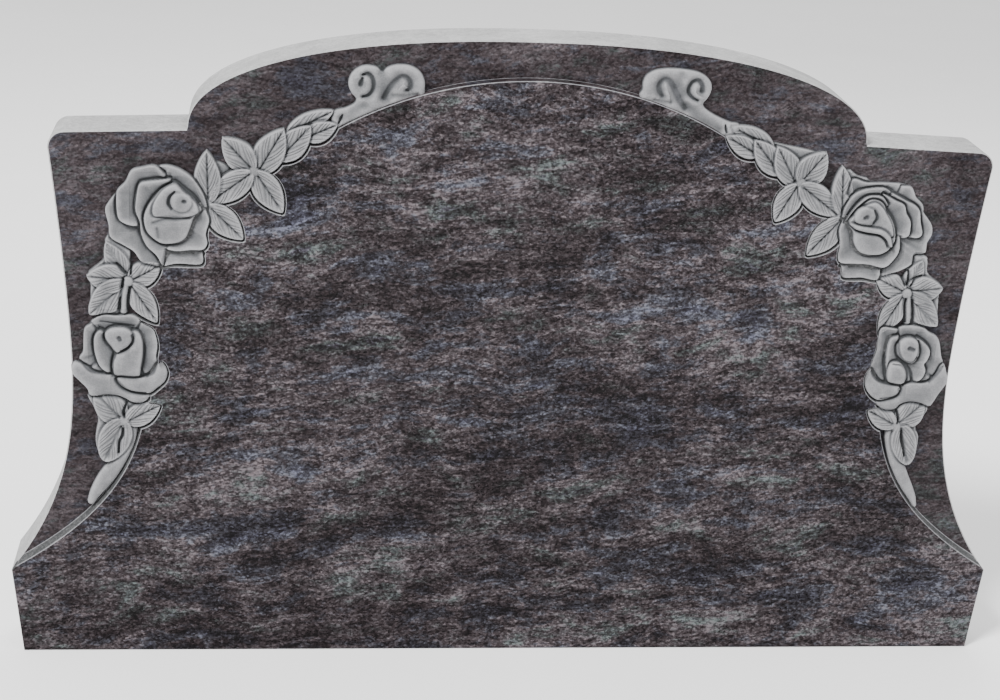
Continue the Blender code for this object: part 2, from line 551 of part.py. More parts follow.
def slab_solid(collection):
    """The slab: its outline through the full thickness, with a small chamfer front and back."""
    line = mirrored(outline())
    slim = inset(line, ARRIS)
    front, back = -THICKNESS / 2, THICKNESS / 2
    rings = [upright(slim, front), upright(line, front + ARRIS), upright(line, back - ARRIS),
             upright(slim, back)]
    return stacked_rings("rose_headstone", rings, collection)


def field_cutter(collection):
    """What is cut away around the panel: a sloping step, wider towards the base corners."""
    near = mirrored(panel_edge())
    drop = np.clip((PANEL_FLARE_HEIGHT - near[:, 1]) / (PANEL_FLARE_HEIGHT - BASE_HEIGHT), 0.0, 1.0)
    run = STEP_RUN + (STEP_RUN_AT_BASE - STEP_RUN) * drop
    ahead = np.gradient(near, axis=0)
    ahead /= np.linalg.norm(ahead, axis=1)[:, None]
    far = near + run[:, None] * np.column_stack((ahead[:, 1], -ahead[:, 0]))
    high, wide = SHOULDER_HEIGHT + ARCH_RISE + CUTTER_REACH, BASE_WIDTH / 2 + CUTTER_REACH
    around = np.array(((-wide, near[0, 1]), (-wide, high), (wide, high), (wide, near[0, 1])))
    surface, floor = -THICKNESS / 2, -THICKNESS / 2 + FIELD_DEPTH
    before = near - (far - near) * CUTTER_LEAD
    rings = [upright(np.concatenate((before, around)), surface - FIELD_DEPTH * CUTTER_LEAD),
             upright(np.concatenate((far, around)), floor)]
    return stacked_rings("field_cutter", rings, collection)


def closed_outline(item):
    """The closed front outline of a leaf, a petal or a dome, as (out, up)."""
    if isinstance(item, Leaf):
        base, tip = np.array(item.base), np.array(item.tip)
        across = np.array((-(tip - base)[1], (tip - base)[0])) / np.linalg.norm(tip - base)
        share, half = leaf_outline(item, LEAF_LENGTH_STEPS + 1)
        spine = base + share[:, None] * (tip - base)
        return np.concatenate((spine + half[:, None] * across, (spine - half[:, None] * across)[::-1]))
    if isinstance(item, Petal):
        return np.concatenate((smooth_line(item.lip, lip_steps(item)), np.array([item.pivot])))
    return smooth_line(item.edge_line, DOME_STEPS, closed=True)


def pocket_cutter(item, side, name, collection):
    """A pocket in the panel around a leaf or a petal, one gap wider than it on every side."""
    line = closed_outline(item)
    middle = line.mean(axis=0)
    reach = np.linalg.norm(line - middle, axis=1)[:, None]
    line = middle + (line - middle) * (1 + POCKET_GAP / reach)
    rings = [at_height(side, line, FIELD_DEPTH + CUTTER_REACH), at_height(side, line, POCKET_FLOOR)]
    return stacked_rings(name, rings, collection)


def over_panel(item):
    """Whether a leaf or a petal reaches in over the panel's edge."""
    places, edge = laid_out(closed_outline(item)), panel_edge()
    return (places[:, 0] < np.interp(places[:, 1], edge[:, 1], edge[:, 0]) + POCKET_GAP).any()


def carve_garland(side, leaves, roses, stem, tools):
    """All the raised solids of one garland, and the pockets that it needs in the panel."""
    tag = "right" if side > 0 else "left"
    raised, pockets = [], []
    for number, leaf in enumerate(leaves):
        raised.append(leaf_solid(leaf, side, f"{tag}_leaf_{number}", tools))
    for number, item in enumerate(roses):
        build = petal_solid if isinstance(item, Petal) else dome_solid
        raised.append(build(item, side, f"{tag}_petal_{number}", tools))
    raised.append(ribbon_solid(smooth_line(stem, STEM_STEPS), STEM_HEIGHT, side, tag + "_stem", tools))
    raised.append(ribbon_solid(np.array(SPRIG_STEM), STEM_HEIGHT, side, tag + "_sprig_stem", tools))
    raised.append(ribbon_solid(np.array(NECK), NECK_HEIGHT, side, tag + "_neck", tools))
    for number, hub in enumerate(HUBS):
        raised.append(disc_solid(hub, HUB_RADIUS, HUB_HEIGHT, HUB_STEPS, side,
                                 f"{tag}_hub_{number}", tools))
    for number, volute in enumerate((OUTER_VOLUTE, INNER_VOLUTE)):
        raised.append(disc_solid(volute.centre, volute.radius, VOLUTE_PLATE, VOLUTE_RIM_STEPS, side,
                                 f"{tag}_volute_{number}", tools))
        wound = volute_line(volute, VOLUTE_STEPS)
        raised.append(ribbon_solid(wound, VOLUTE_HEIGHT, side, f"{tag}_cord_{number}", tools))
    for number, item in enumerate((*leaves, *roses)):
        if over_panel(item):
            pockets.append(pocket_cutter(item, side, f"{tag}_pocket_{number}", tools))
    return raised, pockets


def boolean(target, operand, operation, name):
    """An exact Boolean against an object or a collection."""
    step = target.modifiers.new(name, "BOOLEAN")
    step.operation = operation
    step.solver = "EXACT"
    if isinstance(operand, bpy.types.Collection):
        step.operand_type = "COLLECTION"
        step.collection = operand
    else:
        step.object = operand
    return step


def stone():
    """Polished dark granite."""
    material = bpy.data.materials.new("granite")
    material.use_nodes = True
    surface = material.node_tree.nodes["Principled BSDF"]
    surface.inputs["Base Color"].default_value = STONE_COLOUR
    surface.inputs["Roughness"].default_value = STONE_ROUGHNESS
    surface.inputs["Metallic"].default_value = 0.0
    return material


def cutting_collection(name):
    """A collection for solids that only shape the stone."""
    collection = bpy.data.collections.new(name)
    bpy.context.scene.collection.children.link(collection)
    return collection


def main():
    """Cut the slab, sink the field and the pockets, and join the garlands to it."""
    for old in list(bpy.data.objects):
        bpy.data.objects.remove(old, do_unlink=True)
    monument = bpy.data.collections.new("granite_headstone")
    bpy.context.scene.collection.children.link(monument)
    waste = cutting_collection("waste")
    carving = cutting_collection("carving")
    slab = slab_solid(monument)
    field_cutter(waste)
    left = carve_garland(-1, LEFT_LEAVES, LEFT_UPPER_ROSE + LEFT_LOWER_ROSE, LEFT_STEM, carving)
    right = carve_garland(1, RIGHT_LEAVES, RIGHT_UPPER_ROSE + RIGHT_LOWER_ROSE, RIGHT_STEM, carving)
    for pocket in left[1] + right[1]:
        carving.objects.unlink(pocket)
        waste.objects.link(pocket)
    boolean(slab, waste, "DIFFERENCE", "sink the field")
    boolean(slab, carving, "UNION", "carve the garlands")
    for tool in list(waste.objects) + list(carving.objects):
        tool.hide_render = True
        tool.display_type = "WIRE"
    slab.data.materials.append(stone())


main()
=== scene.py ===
"""Looks of a carved granite headstone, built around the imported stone.

The front faces -Y, the underside stands on Z = 0 and X = 0 is the centre line. Places on the front
are drawn in millimetres as (out, up): out is the distance from the centre line, so one drawing
serves both halves. Heights of carving are millimetres forwards of the sunk field.
"""
import logging
import math
from dataclasses import dataclass, field
from enum import Enum
from typing import Any, Optional, Sequence

import bmesh
import bpy
import numpy as np
from mathutils import Euler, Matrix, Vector

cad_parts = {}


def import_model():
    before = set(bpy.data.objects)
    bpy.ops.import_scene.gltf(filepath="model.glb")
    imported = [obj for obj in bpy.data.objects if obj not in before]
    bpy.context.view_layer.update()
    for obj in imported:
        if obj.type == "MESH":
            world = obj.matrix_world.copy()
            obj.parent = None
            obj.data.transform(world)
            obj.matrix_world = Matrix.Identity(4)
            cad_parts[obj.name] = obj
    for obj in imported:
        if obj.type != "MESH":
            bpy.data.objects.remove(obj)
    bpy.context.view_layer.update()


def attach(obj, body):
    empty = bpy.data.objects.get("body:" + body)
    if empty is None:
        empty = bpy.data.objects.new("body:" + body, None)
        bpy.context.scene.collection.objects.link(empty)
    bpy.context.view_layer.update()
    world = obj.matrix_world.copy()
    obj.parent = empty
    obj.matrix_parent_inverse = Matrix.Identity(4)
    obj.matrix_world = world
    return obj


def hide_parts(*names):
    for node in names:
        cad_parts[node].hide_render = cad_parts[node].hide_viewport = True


MM = 0.001
FULL_TURN = 2 * math.pi
QUARTER_TURN = math.pi / 2
CUBIC_STEPS = 10    # places read off each stretch of a drawn line
OVERRUN = 6.0       # how far a cutter starts in front of the face it cuts
CLEARANCE = 40.0    # how far the field's cutter reaches past the outline
LEVEL = 0.999       # a face that looks forwards more than this is flat
STEEP = 0.5         # and one that does so less than this is a wall
UPWARDS = 0.7       # and one that rises more than this looks up
TOUCH = 0.02        # within this distance two depths are the same
STONE_IOR = 1.5     # index of refraction of quartz and feldspar
Place = tuple[float, float]
Rows = tuple[tuple[float, ...], ...]
Window = tuple[slice, slice]
Source = Any        # what feeds a node's input: a value, a socket, or a node for its first output
Stops = tuple[tuple[float, str], ...]
log = logging.getLogger("headstone")


class Side(Enum):
    """Which half of the stone a garland is on."""

    LEFT = -1
    RIGHT = 1


class Cut(Enum):
    """How a face of the stone was worked, and so which finish it takes; walls and pocket floors in the recesses take
    painted shade instead.
    """

    POLISHED = 0
    SAWN = 1
    CHISELLED = 2
    # painted shade: a near-black finish for walls and pocket floors in the recesses
    WALL = 3
    HONED = 4


# Lines


def drawn(rows: str) -> Rows:
    """Rows of a drawing, as in "548 671, 557 659": places, or places with a width."""
    return tuple(tuple(float(number) for number in row.split()) for row in rows.split(","))


def smooth_line(points: Sequence[Sequence[float]], count: int, closed: bool = False) -> np.ndarray:
    """Carry a rounded line through a few points.

    Each stretch between two points is a Catmull-Rom cubic of its four neighbours, and the line is
    then read off at even distances.

    Args:
        points: the points, each with two or more values, of which the first two are the place.
        count: how many places the result has.
        closed: whether the line comes back to its first point.

    Returns:
        An array of count rows.
    """
    points = np.asarray(points, float)
    if closed:
        held = np.concatenate((points[-1:], points, points[:2]))
    else:
        held = np.concatenate((2 * points[:1] - points[1:2], points, 2 * points[-1:] - points[-2:-1]))
    share = np.linspace(0.0, 1.0, CUBIC_STEPS, endpoint=False)[:, None]
    before, start, end, after = (held[k:len(held) - 3 + k, None, :] for k in range(4))
    bend = 2 * before - 5 * start + 4 * end - after
    twist = 3 * start - before - 3 * end + after
    fine = 0.5 * (2 * start + (end - before) * share + bend * share**2 + twist * share**3)
    fine = np.concatenate((fine.reshape(-1, points.shape[1]), points[:1] if closed else points[-1:]))
    run = np.concatenate(([0.0], np.cumsum(np.linalg.norm(np.diff(fine[:, :2], axis=0), axis=1))))
    places = np.linspace(0.0, run[-1], count, endpoint=not closed)
    return np.column_stack([np.interp(places, run, fine[:, k]) for k in range(points.shape[1])])


def normals_of(line: np.ndarray, closed: bool = False) -> np.ndarray:
    """Find the unit normals to the right of a line: its central differences turned by a quarter.

    Args:
        line: rows of (out, up), where any further value isn't read.
        closed: whether the line comes back to its first point.

    Returns:
        A normal for each row.
    """
    ahead = np.roll(line, -1, axis=0) - np.roll(line, 1, axis=0) if closed else np.gradient(line, axis=0)
    ahead = ahead[:, :2] / np.linalg.norm(ahead[:, :2], axis=1)[:, None]
    return np.column_stack((ahead[:, 1], -ahead[:, 0]))


def polar(line: np.ndarray, middle: Sequence[float]) -> tuple[np.ndarray, np.ndarray]:
    """Describe a line round a middle by an angle and a radius for each of its places.

    Args:
        line: rows of (out, up).
        middle: the place that it goes round.

    Returns:
        The angles in rising order, and their radii.
    """
    around = line - np.asarray(middle)
    angle = np.unwrap(np.arctan2(around[:, 1], around[:, 0]))
    order = np.argsort(angle)
    return angle[order], np.linalg.norm(around, axis=1)[order]


def nearest_on_line(out: np.ndarray, up: np.ndarray, line: np.ndarray) -> tuple[np.ndarray, np.ndarray]:
    """Measure from each place to a line, and read the line's own value there.

    Every place is dropped square onto every stretch of the line, held within the stretch, and the
    shortest of these distances is kept.

    Args:
        out: places, first value.
        up: places, second value.
        line: rows of (out, up, value).

    Returns:
        The distances, and the third value of the line at the nearest point.
    """
    start, step = line[:-1], np.diff(line, axis=0)
    length = np.maximum((step[:, 0]**2 + step[:, 1]**2), 1e-9)
    to_out = out[..., None] - start[:, 0]
    to_up = up[..., None] - start[:, 1]
    share = np.clip((to_out * step[:, 0] + to_up * step[:, 1]) / length, 0.0, 1.0)
    gap = np.hypot(to_out - share * step[:, 0], to_up - share * step[:, 1])
    best = np.argmin(gap, axis=-1)[..., None]
    distance = np.take_along_axis(gap, best, axis=-1)[..., 0]
    value = np.take_along_axis(start[:, 2] + share * step[:, 2], best, axis=-1)[..., 0]
    return distance, value


def blurred(height: np.ndarray, reach: int) -> np.ndarray:
    """Smooth a grid by the mean of each cell's square neighbourhood, taken twice.

    The means come from running sums along both axes.

    Args:
        height: the grid.
        reach: how many cells the neighbourhood takes in on each side.

    Returns:
        The smoothed grid.
    """
    for _ in range(2):
        for axis in (0, 1):
            padded = np.pad(height, [(reach + 1, reach) if k == axis else (0, 0) for k in (0, 1)], mode="edge")
            total = np.cumsum(padded, axis=axis)
            high = np.take(total, np.arange(2 * reach + 1, total.shape[axis]), axis=axis)
            low = np.take(total, np.arange(0, total.shape[axis] - 2 * reach - 1), axis=axis)
            height = (high - low) / (2 * reach + 1)
    return height


# The carving as a height field


@dataclass
class Relief:
    """A piece of the carved front: heights over an even grid of places, in millimetres.

    Forms are laid on it in the carver's order. Each keeps the higher of what is there and its own
    top, and first cuts a groove round itself into what lies under it, with painted shade in the groove.
    A row of tones is the reach in cells over which a height is compared, its share in the painted
    shade and highlight, and the lowest and the highest difference that counts.
    """

    span: tuple[float, float, float, float]
    cell: float = 0.7
    ground: float = -3.0
    skirt: float = -0.8
    wall: float = 6.0
    full_groove_height: float = 3.0
    groove_offset: float = 1.7
    groove_reach: float = 2.0
    groove_depth: float = 2.9
    groove_floor: float = 0.8
    clean_rim: float = 0.8
    dip: float = 3.2
    dip_reach: float = 5.5
    # scales of painted shade in hollows and painted highlight on edges: reach, share, lowest, highest
    tones: Rows = ((2, 0.10, -2.0, 1.1), (6, 0.07, -4.0, 1.8), (16, 0.055, -5.0, 2.2))
    # how dark the painted shade in a groove makes the stone
    painted_groove_shade: float = 0.17
    line_margin: float = 16.0
    bottom_spread: tuple[float, float] = (0.5, 0.2)
    shoulder_spread: tuple[float, float] = (1.1, 0.5)
    out: np.ndarray = field(init=False)
    up: np.ndarray = field(init=False)
    height: np.ndarray = field(init=False)
    # painted shade in the grooves, from 0 to 1
    groove: np.ndarray = field(init=False)
    filler: np.ndarray = field(init=False)

    def __post_init__(self) -> None:
        """Lay out the grid at the ground's height."""
        first, last, low, high = self.span
        columns, rows = round((last - first) / self.cell) + 1, round((high - low) / self.cell) + 1
        self.out, self.up = np.meshgrid(first + self.cell * np.arange(columns), low + self.cell * np.arange(rows))
        self.height = np.full(self.out.shape, self.ground)
        self.groove = np.zeros(self.out.shape)
        self.filler = np.zeros(self.out.shape)

    def window(self, line: np.ndarray, margin: float = 9.0) -> Window:
        """Find the part of the grid that a form touches.

        Args:
            line: rows that start with the form's places.
            margin: how far round them the form is felt.

        Returns:
            The rows and the columns.
        """
        corner = (self.span[0], self.span[2])
        near, far = line[:, :2].min(axis=0) - margin - corner, line[:, :2].max(axis=0) + margin - corner
        columns, rows = (slice(max(int(a / self.cell), 0), max(int(b / self.cell) + 1, 0)) for a, b in zip(near, far))
        return rows, columns

    def raise_form(self, where: Window, beyond: np.ndarray, top: np.ndarray, groove: float | np.ndarray,
                   filler: float = 0.0, roll: float = 1.1, roll_reach: float = 1.0) -> None:
        """Lay one form on the relief.

        Outside its edge a form falls as a steep wall. Just inside, the edge is rolled over by an
        exponential. The groove is a bell curve a little way outside the edge, with a soft dip
        towards it, and is only cut where something is carved already. The same bell paints shade into
        the groove, and the form clears painted shade from its own face.

        Args:
            where: the window that the arrays belong to.
            beyond: distance outside the form's edge, negative inside it.
            top: height of the form's top.
            groove: how strongly the groove round the form is cut and painted with shade, from 0 to 1.
            filler: how much of the form is rough, unground filler, from 0 to 1.
            roll: how far the edge is rolled over.
            roll_reach: how far in from the edge the rolling is felt.
        """
        height = self.height[where]
        carved = np.clip(height / self.full_groove_height, 0.0, 1.0)
        cut = groove * np.exp(-((beyond - self.groove_offset) / self.groove_reach)**2) * carved
        soft = groove * np.exp(-np.maximum(beyond, 0.0) / self.dip_reach) * carved
        lowered = np.maximum(height - self.groove_depth * cut - self.dip * soft,
                             np.minimum(height, self.groove_floor))
        form = top - roll * np.exp(np.minimum(beyond, 0.0) / roll_reach) - self.wall * np.maximum(beyond, 0.0)
        over = form > lowered
        self.height[where] = np.maximum(np.where(over, form, lowered), self.ground)
        # painted shade in the groove round the form, cleared where the form itself stands
        self.groove[where] = np.where(over & (beyond < self.clean_rim), 0.0, np.maximum(self.groove[where], cut))
        self.filler[where] = np.where(over, filler, self.filler[where])

    def cut_line(self, line: Rows, depth: float, dark: float, shoulder: float) -> None:
        """Cut a groove along a line.

        Its middle is a flat-bottomed bell curve of the distance, and its shoulders are a wider bell.
        Each spreads over a share of the drawn width and a little more. Shade is painted into the groove by
        the same curve, where what is left still stands above the field.

        Args:
            line: points of (out, up, width).
            depth: how deep it goes where the stone stands high enough.
            dark: how dark the painted shade at its bottom is, from 0 to 1.
            shoulder: share of the depth that the rounded shoulders take.
        """
        path = smooth_line(line, 6 * len(line))
        where = self.window(path, self.line_margin)
        distance, width = nearest_on_line(self.out[where], self.up[where], path)
        middle = np.exp(-(distance / (self.bottom_spread[0] * width + self.bottom_spread[1]))**4)
        sides = np.exp(-(distance / (self.shoulder_spread[0] * width + self.shoulder_spread[1]))**2)
        cut = (1.0 - shoulder) * middle + shoulder * sides
        height = self.height[where]
        left = np.maximum(height - depth * cut, np.minimum(height, self.groove_floor))
        self.height[where] = left
        # painted shade along the groove
        self.groove[where] = np.maximum(self.groove[where], dark * cut * (left > 0.0))

    def painted_shading(self) -> np.ndarray:
        """Paint light and shade into the worked stone: pale highlights on edges, dark shade in hollows and grooves.

        The height over the mean of its neighbourhood paints highlights on edges and shade in hollows at three scales.

        Returns:
            Values round 0.5, from 0 for painted shade in the deepest groove to 1 for a painted highlight on the
            sharpest edge.
        """
        shown = np.maximum(self.height, 0.0)
        # painted shade in grooves and hollows, painted highlight on edges
        painted_shading = 0.5 - self.painted_groove_shade * self.groove
        for reach, share, lowest, highest in self.tones:
            painted_shading += share * np.clip(shown - blurred(shown, int(reach)), lowest, highest)
        return np.clip(painted_shading, 0.0, 1.0)

    def piece(self, name: str, side: Side, front: float, part: tuple[float, float]) -> bpy.types.Object:
        """Make the carved part of the grid, between two heights, a closed mesh.

        Cells are kept where any corner stands above the skirt line, a little under the field, so
        the carving is rooted in the slab. Their rim is carried straight back and filled there.

        Args:
            name: the piece's name.
            side: which half of the stone it is on.
            front: the field's Y.
            part: the lowest and the highest place of the piece.

        Returns:
            The new object, with its painted shade and highlights, and its filler, in two point attributes.
        """
        above = self.height > self.skirt
        kept = above[:-1, :-1] | above[1:, :-1] | above[:-1, 1:] | above[1:, 1:]
        middle = self.up[:-1, :-1] + self.cell / 2
        kept &= (middle > part[0]) & (middle < part[1])
        number = np.arange(self.height.size).reshape(self.height.shape)
        corners = np.stack((number[:-1, :-1], number[:-1, 1:], number[1:, 1:], number[1:, :-1]), axis=-1)[kept]
        used, faces = np.unique(corners, return_inverse=True)
        rim = rim_edges(kept)
        behind, far = np.unique(rim, return_inverse=True)
        near, far = np.searchsorted(used, rim), far.reshape(rim.shape) + len(used)
        walls = np.column_stack((near[:, 1], near[:, 0], far[:, 0], far[:, 1]))
        faces = np.concatenate((faces.reshape(corners.shape), walls))
        every = np.concatenate((used, behind))
        depth = front - self.height.ravel()[every] * MM
        depth[len(used):] = front - self.ground * MM
        places = np.column_stack((side.value * self.out.ravel()[every] * MM, depth, self.up.ravel()[every] * MM))
        mesh = bpy.data.meshes.new(name)
        mesh.from_pydata(places.tolist(), [], (faces if side is Side.RIGHT else faces[:, ::-1]).tolist())
        # painted shade and highlights, and rough filler, as point attributes
        for label, values in (("painted_shading", self.painted_shading()), ("filler", self.filler)):
            attribute = mesh.attributes.new(label, "FLOAT", "POINT")
            attribute.data.foreach_set("value", values.ravel()[every].astype(np.float32))
        fill_behind(mesh)
        mesh.normals_split_custom_set_from_vertices(self.facing(side, used, len(behind)))
        return shown_object(name, mesh)

    def facing(self, side: Side, used: np.ndarray, behind: int) -> list[list[float]]:
        """Find unit normals from the slopes of the heights, so that two pieces shade alike where they meet.

        Args:
            side: which half of the stone the piece is on.
            used: numbers of the grid's places in the piece.
            behind: how many places follow at its back.

        Returns:
            The normals, with those of the back looking backwards.
        """
        up_slope, out_slope = np.gradient(self.height, self.cell)
        normal = np.column_stack((-side.value * out_slope.ravel()[used], np.full(len(used), -1.0),
                                  -up_slope.ravel()[used]))
        normal /= np.linalg.norm(normal, axis=1)[:, None]
        return np.concatenate((normal, np.tile((0.0, 1.0, 0.0), (behind, 1)))).tolist()


def rim_edges(kept: np.ndarray) -> np.ndarray:
    """Find the open edges of the kept cells of a grid.

    An edge is open where one of its two cells is kept and the other isn't.

    Args:
        kept: which cells are kept.

    Returns:
        Pairs of corner numbers, each in the order in which its own cell goes round.
    """
    rows, columns = kept.shape
    number = np.arange((rows + 1) * (columns + 1)).reshape(rows + 1, columns + 1)
    held = np.pad(kept, 1)
    below, over = held[:-1, 1:-1], held[1:, 1:-1]
    left, right = held[1:-1, :-1], held[1:-1, 1:]
    flat = np.stack((number[:, :-1], number[:, 1:]), axis=-1)
    steep = np.stack((number[:-1, :], number[1:, :]), axis=-1)
    return np.concatenate((flat[over & ~below], flat[below & ~over][:, ::-1],
                           steep[left & ~right], steep[right & ~left][:, ::-1]))


def fill_behind(mesh: bpy.types.Mesh) -> None:
    """Fill a mesh's open rims, holes among them, with one flat sheet of triangles.

    Args:
        mesh: the mesh, whose open rims all lie at its back.
    """
    shape = bmesh.new()
    shape.from_mesh(mesh)
    rim = [edge for edge in shape.edges if edge.is_boundary]
    bmesh.ops.triangle_fill(shape, edges=rim, use_beauty=False, normal=(0.0, 1.0, 0.0))
    shape.to_mesh(mesh)
    shape.free()


def shown_object(name: str, mesh: bpy.types.Mesh) -> bpy.types.Object:
    """Put a mesh into the scene as an object at the origin.

    Args:
        name: the object's name.
        mesh: its mesh.

    Returns:
        The object.
    """
    piece = bpy.data.objects.new(name, mesh)
    bpy.context.scene.collection.objects.link(piece)
    return piece


# Carved forms


@dataclass(frozen=True)
class Petal:
    """A cupped petal: a lip drawn through a few points, fanned out from a pivot under the bud."""

    lip: Rows
    pivot: Place
    height: float
    root: float = 2.5
    groove: float = 1.0
    cup: float = 12.0
    wave: float = 0.35
    waves_a_radian: float = 7.0
    tuck: float = 3.5
    tuck_reach: float = 4.0
    end_slope: float = 4.0
    groove_fade: float = 3.0
    least_turn: float = 0.01
    steepest: float = 2.0
    roll: float = 0.5

    def outline(self) -> np.ndarray:
        """The closed outline: the lip and the pivot."""
        return np.vstack((smooth_line(self.lip, 40), self.pivot))

    def lay_on(self, relief: Relief) -> None:
        """Raise the petal.

        Round the pivot, the lip is a radius for each angle, and the distance to it is measured
        square to it. From the lip inwards the height falls off as an exponential of it. The two
        ends of the lip sink under their neighbours, and it waves a little, as it was cut by hand.

        Args:
            relief: what it is carved on.
        """
        lip = smooth_line(self.lip, 70)
        where = relief.window(np.vstack((lip, self.pivot)))
        angle, radius = polar(lip, self.pivot)
        out, up = relief.out[where] - self.pivot[0], relief.up[where] - self.pivot[1]
        reach = np.hypot(out, up)
        middle = 0.5 * (angle[0] + angle[-1])
        turn = middle + (np.arctan2(up, out) - middle + math.pi) % FULL_TURN - math.pi
        lip_reach = np.interp(turn, angle, radius)
        slant = np.interp(turn, angle, np.gradient(radius) / np.maximum(np.gradient(angle), self.least_turn))
        slope = np.clip(slant / np.maximum(lip_reach, 1.0), -self.steepest, self.steepest)
        past = (reach - lip_reach) / np.sqrt(1.0 + slope**2)
        inside = np.minimum(turn - angle[0], angle[-1] - turn) * reach
        share = np.clip(reach / lip_reach, 0.0, 1.0)
        fall = 1.0 - np.exp(np.minimum(past, 0.0) / self.cup)
        top = self.height - (self.height - self.root) * fall
        top += self.wave * np.sin(self.waves_a_radian * turn + self.height) * share**4
        top -= self.tuck * np.clip(1.0 - inside / self.tuck_reach, 0.0, 1.0)**2
        top -= self.end_slope * np.maximum(-inside, 0.0)
        groove = self.groove * np.clip(inside / self.groove_fade + 1.0, 0.0, 1.0)
        relief.raise_form(where, past, top, groove, roll=self.roll)


@dataclass(frozen=True)
class Dome:
    """A rounded, closed form, such as the ball of a bud: its edge and its crown height."""

    edge_line: Rows
    edge: float
    crown: float
    groove: float = 1.0
    fullness: float = 2.6
    roll: float = 0.8

    def outline(self) -> np.ndarray:
        """The closed outline."""
        return smooth_line(self.edge_line, 48, closed=True)

    def lay_on(self, relief: Relief) -> None:
        """Raise the dome: round its middle it falls from crown to edge as a quarter of a superellipse.

        Args:
            relief: what it is carved on.
        """
        line = smooth_line(self.edge_line, 90, closed=True)
        where = relief.window(line)
        middle = line.mean(axis=0)
        angle, radius = polar(line, middle)
        out, up = relief.out[where] - middle[0], relief.up[where] - middle[1]
        turn = angle[0] + (np.arctan2(up, out) - angle[0]) % FULL_TURN
        edge_reach = np.interp(turn, np.append(angle, angle[0] + FULL_TURN), np.append(radius, radius[0]))
        reach = np.hypot(out, up)
        share = np.clip(reach / edge_reach, 0.0, 1.0)
        top = self.edge + (self.crown - self.edge) * np.sqrt(np.clip(1.0 - share**self.fullness, 0.0, 1.0))
        relief.raise_form(where, reach - edge_reach, top, self.groove, roll=self.roll)


@dataclass(frozen=True)
class Leaf:
    """A pointed leaf with a midrib and slanting side veins, from its base to its tip."""

    base: Place
    tip: Place
    width: float
    height: float = 11.0
    groove: float = 0.35
    vein_gap: float = 10.5
    vein_depth: float = 1.15
    vein_slant: float = 1.7
    vein_bow: float = 0.35
    vein_wander: float = 1.5
    wander_length: float = 6.0
    uneven_gaps: float = 0.22
    rib_depth: float = 2.2
    rib_width: float = 1.3
    belly: float = 0.9
    edge_rise: float = 1.5
    hollow: float = 1.3
    bead: float = 0.6
    bead_inset: float = 1.6
    bead_width: float = 0.9
    swell: float = 0.84
    bluntness: float = 0.74
    roll: float = 0.5
    base_cut: float = 0.03
    least_width: float = 0.02
    gap_beat: float = 2.1
    vein_end: float = 1.15
    vein_fade: float = 9.0
    rib_fade: float = 6.0

    def half_width(self, share: np.ndarray) -> np.ndarray:
        """Work out half the width along the leaf: a sine of a power of the way, itself raised to a power.

        Args:
            share: how far along the leaf, from 0 at its base to 1 at its tip.

        Returns:
            Half the width, in millimetres.
        """
        way = np.clip(self.base_cut + (1.0 - self.base_cut) * np.clip(share, 0.0, 1.0), 0.0, 1.0)
        full = np.clip(np.sin(math.pi * way**self.swell), 0.0, 1.0)
        return 0.5 * self.width * np.maximum(full**self.bluntness, self.least_width)

    def outline(self) -> np.ndarray:
        """Draw the closed outline, up one edge and back down the other.

        Returns:
            Rows of (out, up).
        """
        share = np.linspace(0.0, 1.0, 22)
        base, axis = np.array(self.base), np.subtract(self.tip, self.base)
        across = np.array((-axis[1], axis[0])) / np.linalg.norm(axis)
        half = self.half_width(share)[:, None]
        spine = base + share[:, None] * axis
        return np.concatenate((spine + half * across, (spine - half * across)[::-1]))

    def lay_on(self, relief: Relief) -> None:
        """Raise the leaf.

        Two bellied halves meet in the midrib's groove. Side veins are narrow dips of a high power
        of a cosine, counted along the leaf and slanted by the distance from the midrib, and a low
        bead runs round the edge. The count wanders a little, as veins cut by hand do. The veins fade
        towards the edge and both ends, and the midrib towards the tip.

        Args:
            relief: what it is carved on.
        """
        where = relief.window(self.outline())
        axis = np.subtract(self.tip, self.base)
        length = float(np.linalg.norm(axis))
        axis = axis / length
        out, up = relief.out[where] - self.base[0], relief.up[where] - self.base[1]
        along, aside = out * axis[0] + up * axis[1], np.abs(up * axis[0] - out * axis[1])
        share = along / length
        half = self.half_width(share)
        beyond = np.where(share > 1.0, np.hypot(along - length, aside), aside - half)
        beyond = np.where(share < 0.0, np.hypot(along, np.maximum(aside - half, 0.0)), beyond)
        across = np.clip(aside / half, 0.0, 1.0)
        belly = self.belly * (1.0 - (2.0 * across - 1.0)**2) + self.edge_rise * across - self.hollow
        slanted = along - self.vein_slant * aside * (1.0 + self.vein_bow * across)
        count = (slanted + self.vein_wander * np.sin(along / self.wander_length + self.width)) / self.vein_gap
        count += self.uneven_gaps * np.sin(self.gap_beat * count + self.width)
        vein = (0.5 + 0.5 * np.cos(FULL_TURN * count))**2
        vein = vein * np.clip(self.vein_end - across**4, 0.0, 1.0)
        vein = vein * np.clip(self.vein_fade * share * (1.0 - share), 0.0, 1.0)
        rib = np.exp(-(aside / self.rib_width)**2) * np.clip(self.rib_fade * (1.0 - share), 0.0, 1.0)
        bead = self.bead * np.exp(-((beyond + self.bead_inset) / self.bead_width)**2)
        top = self.height + belly - self.vein_depth * vein - self.rib_depth * rib + bead
        relief.raise_form(where, beyond, top, self.groove, roll=self.roll)


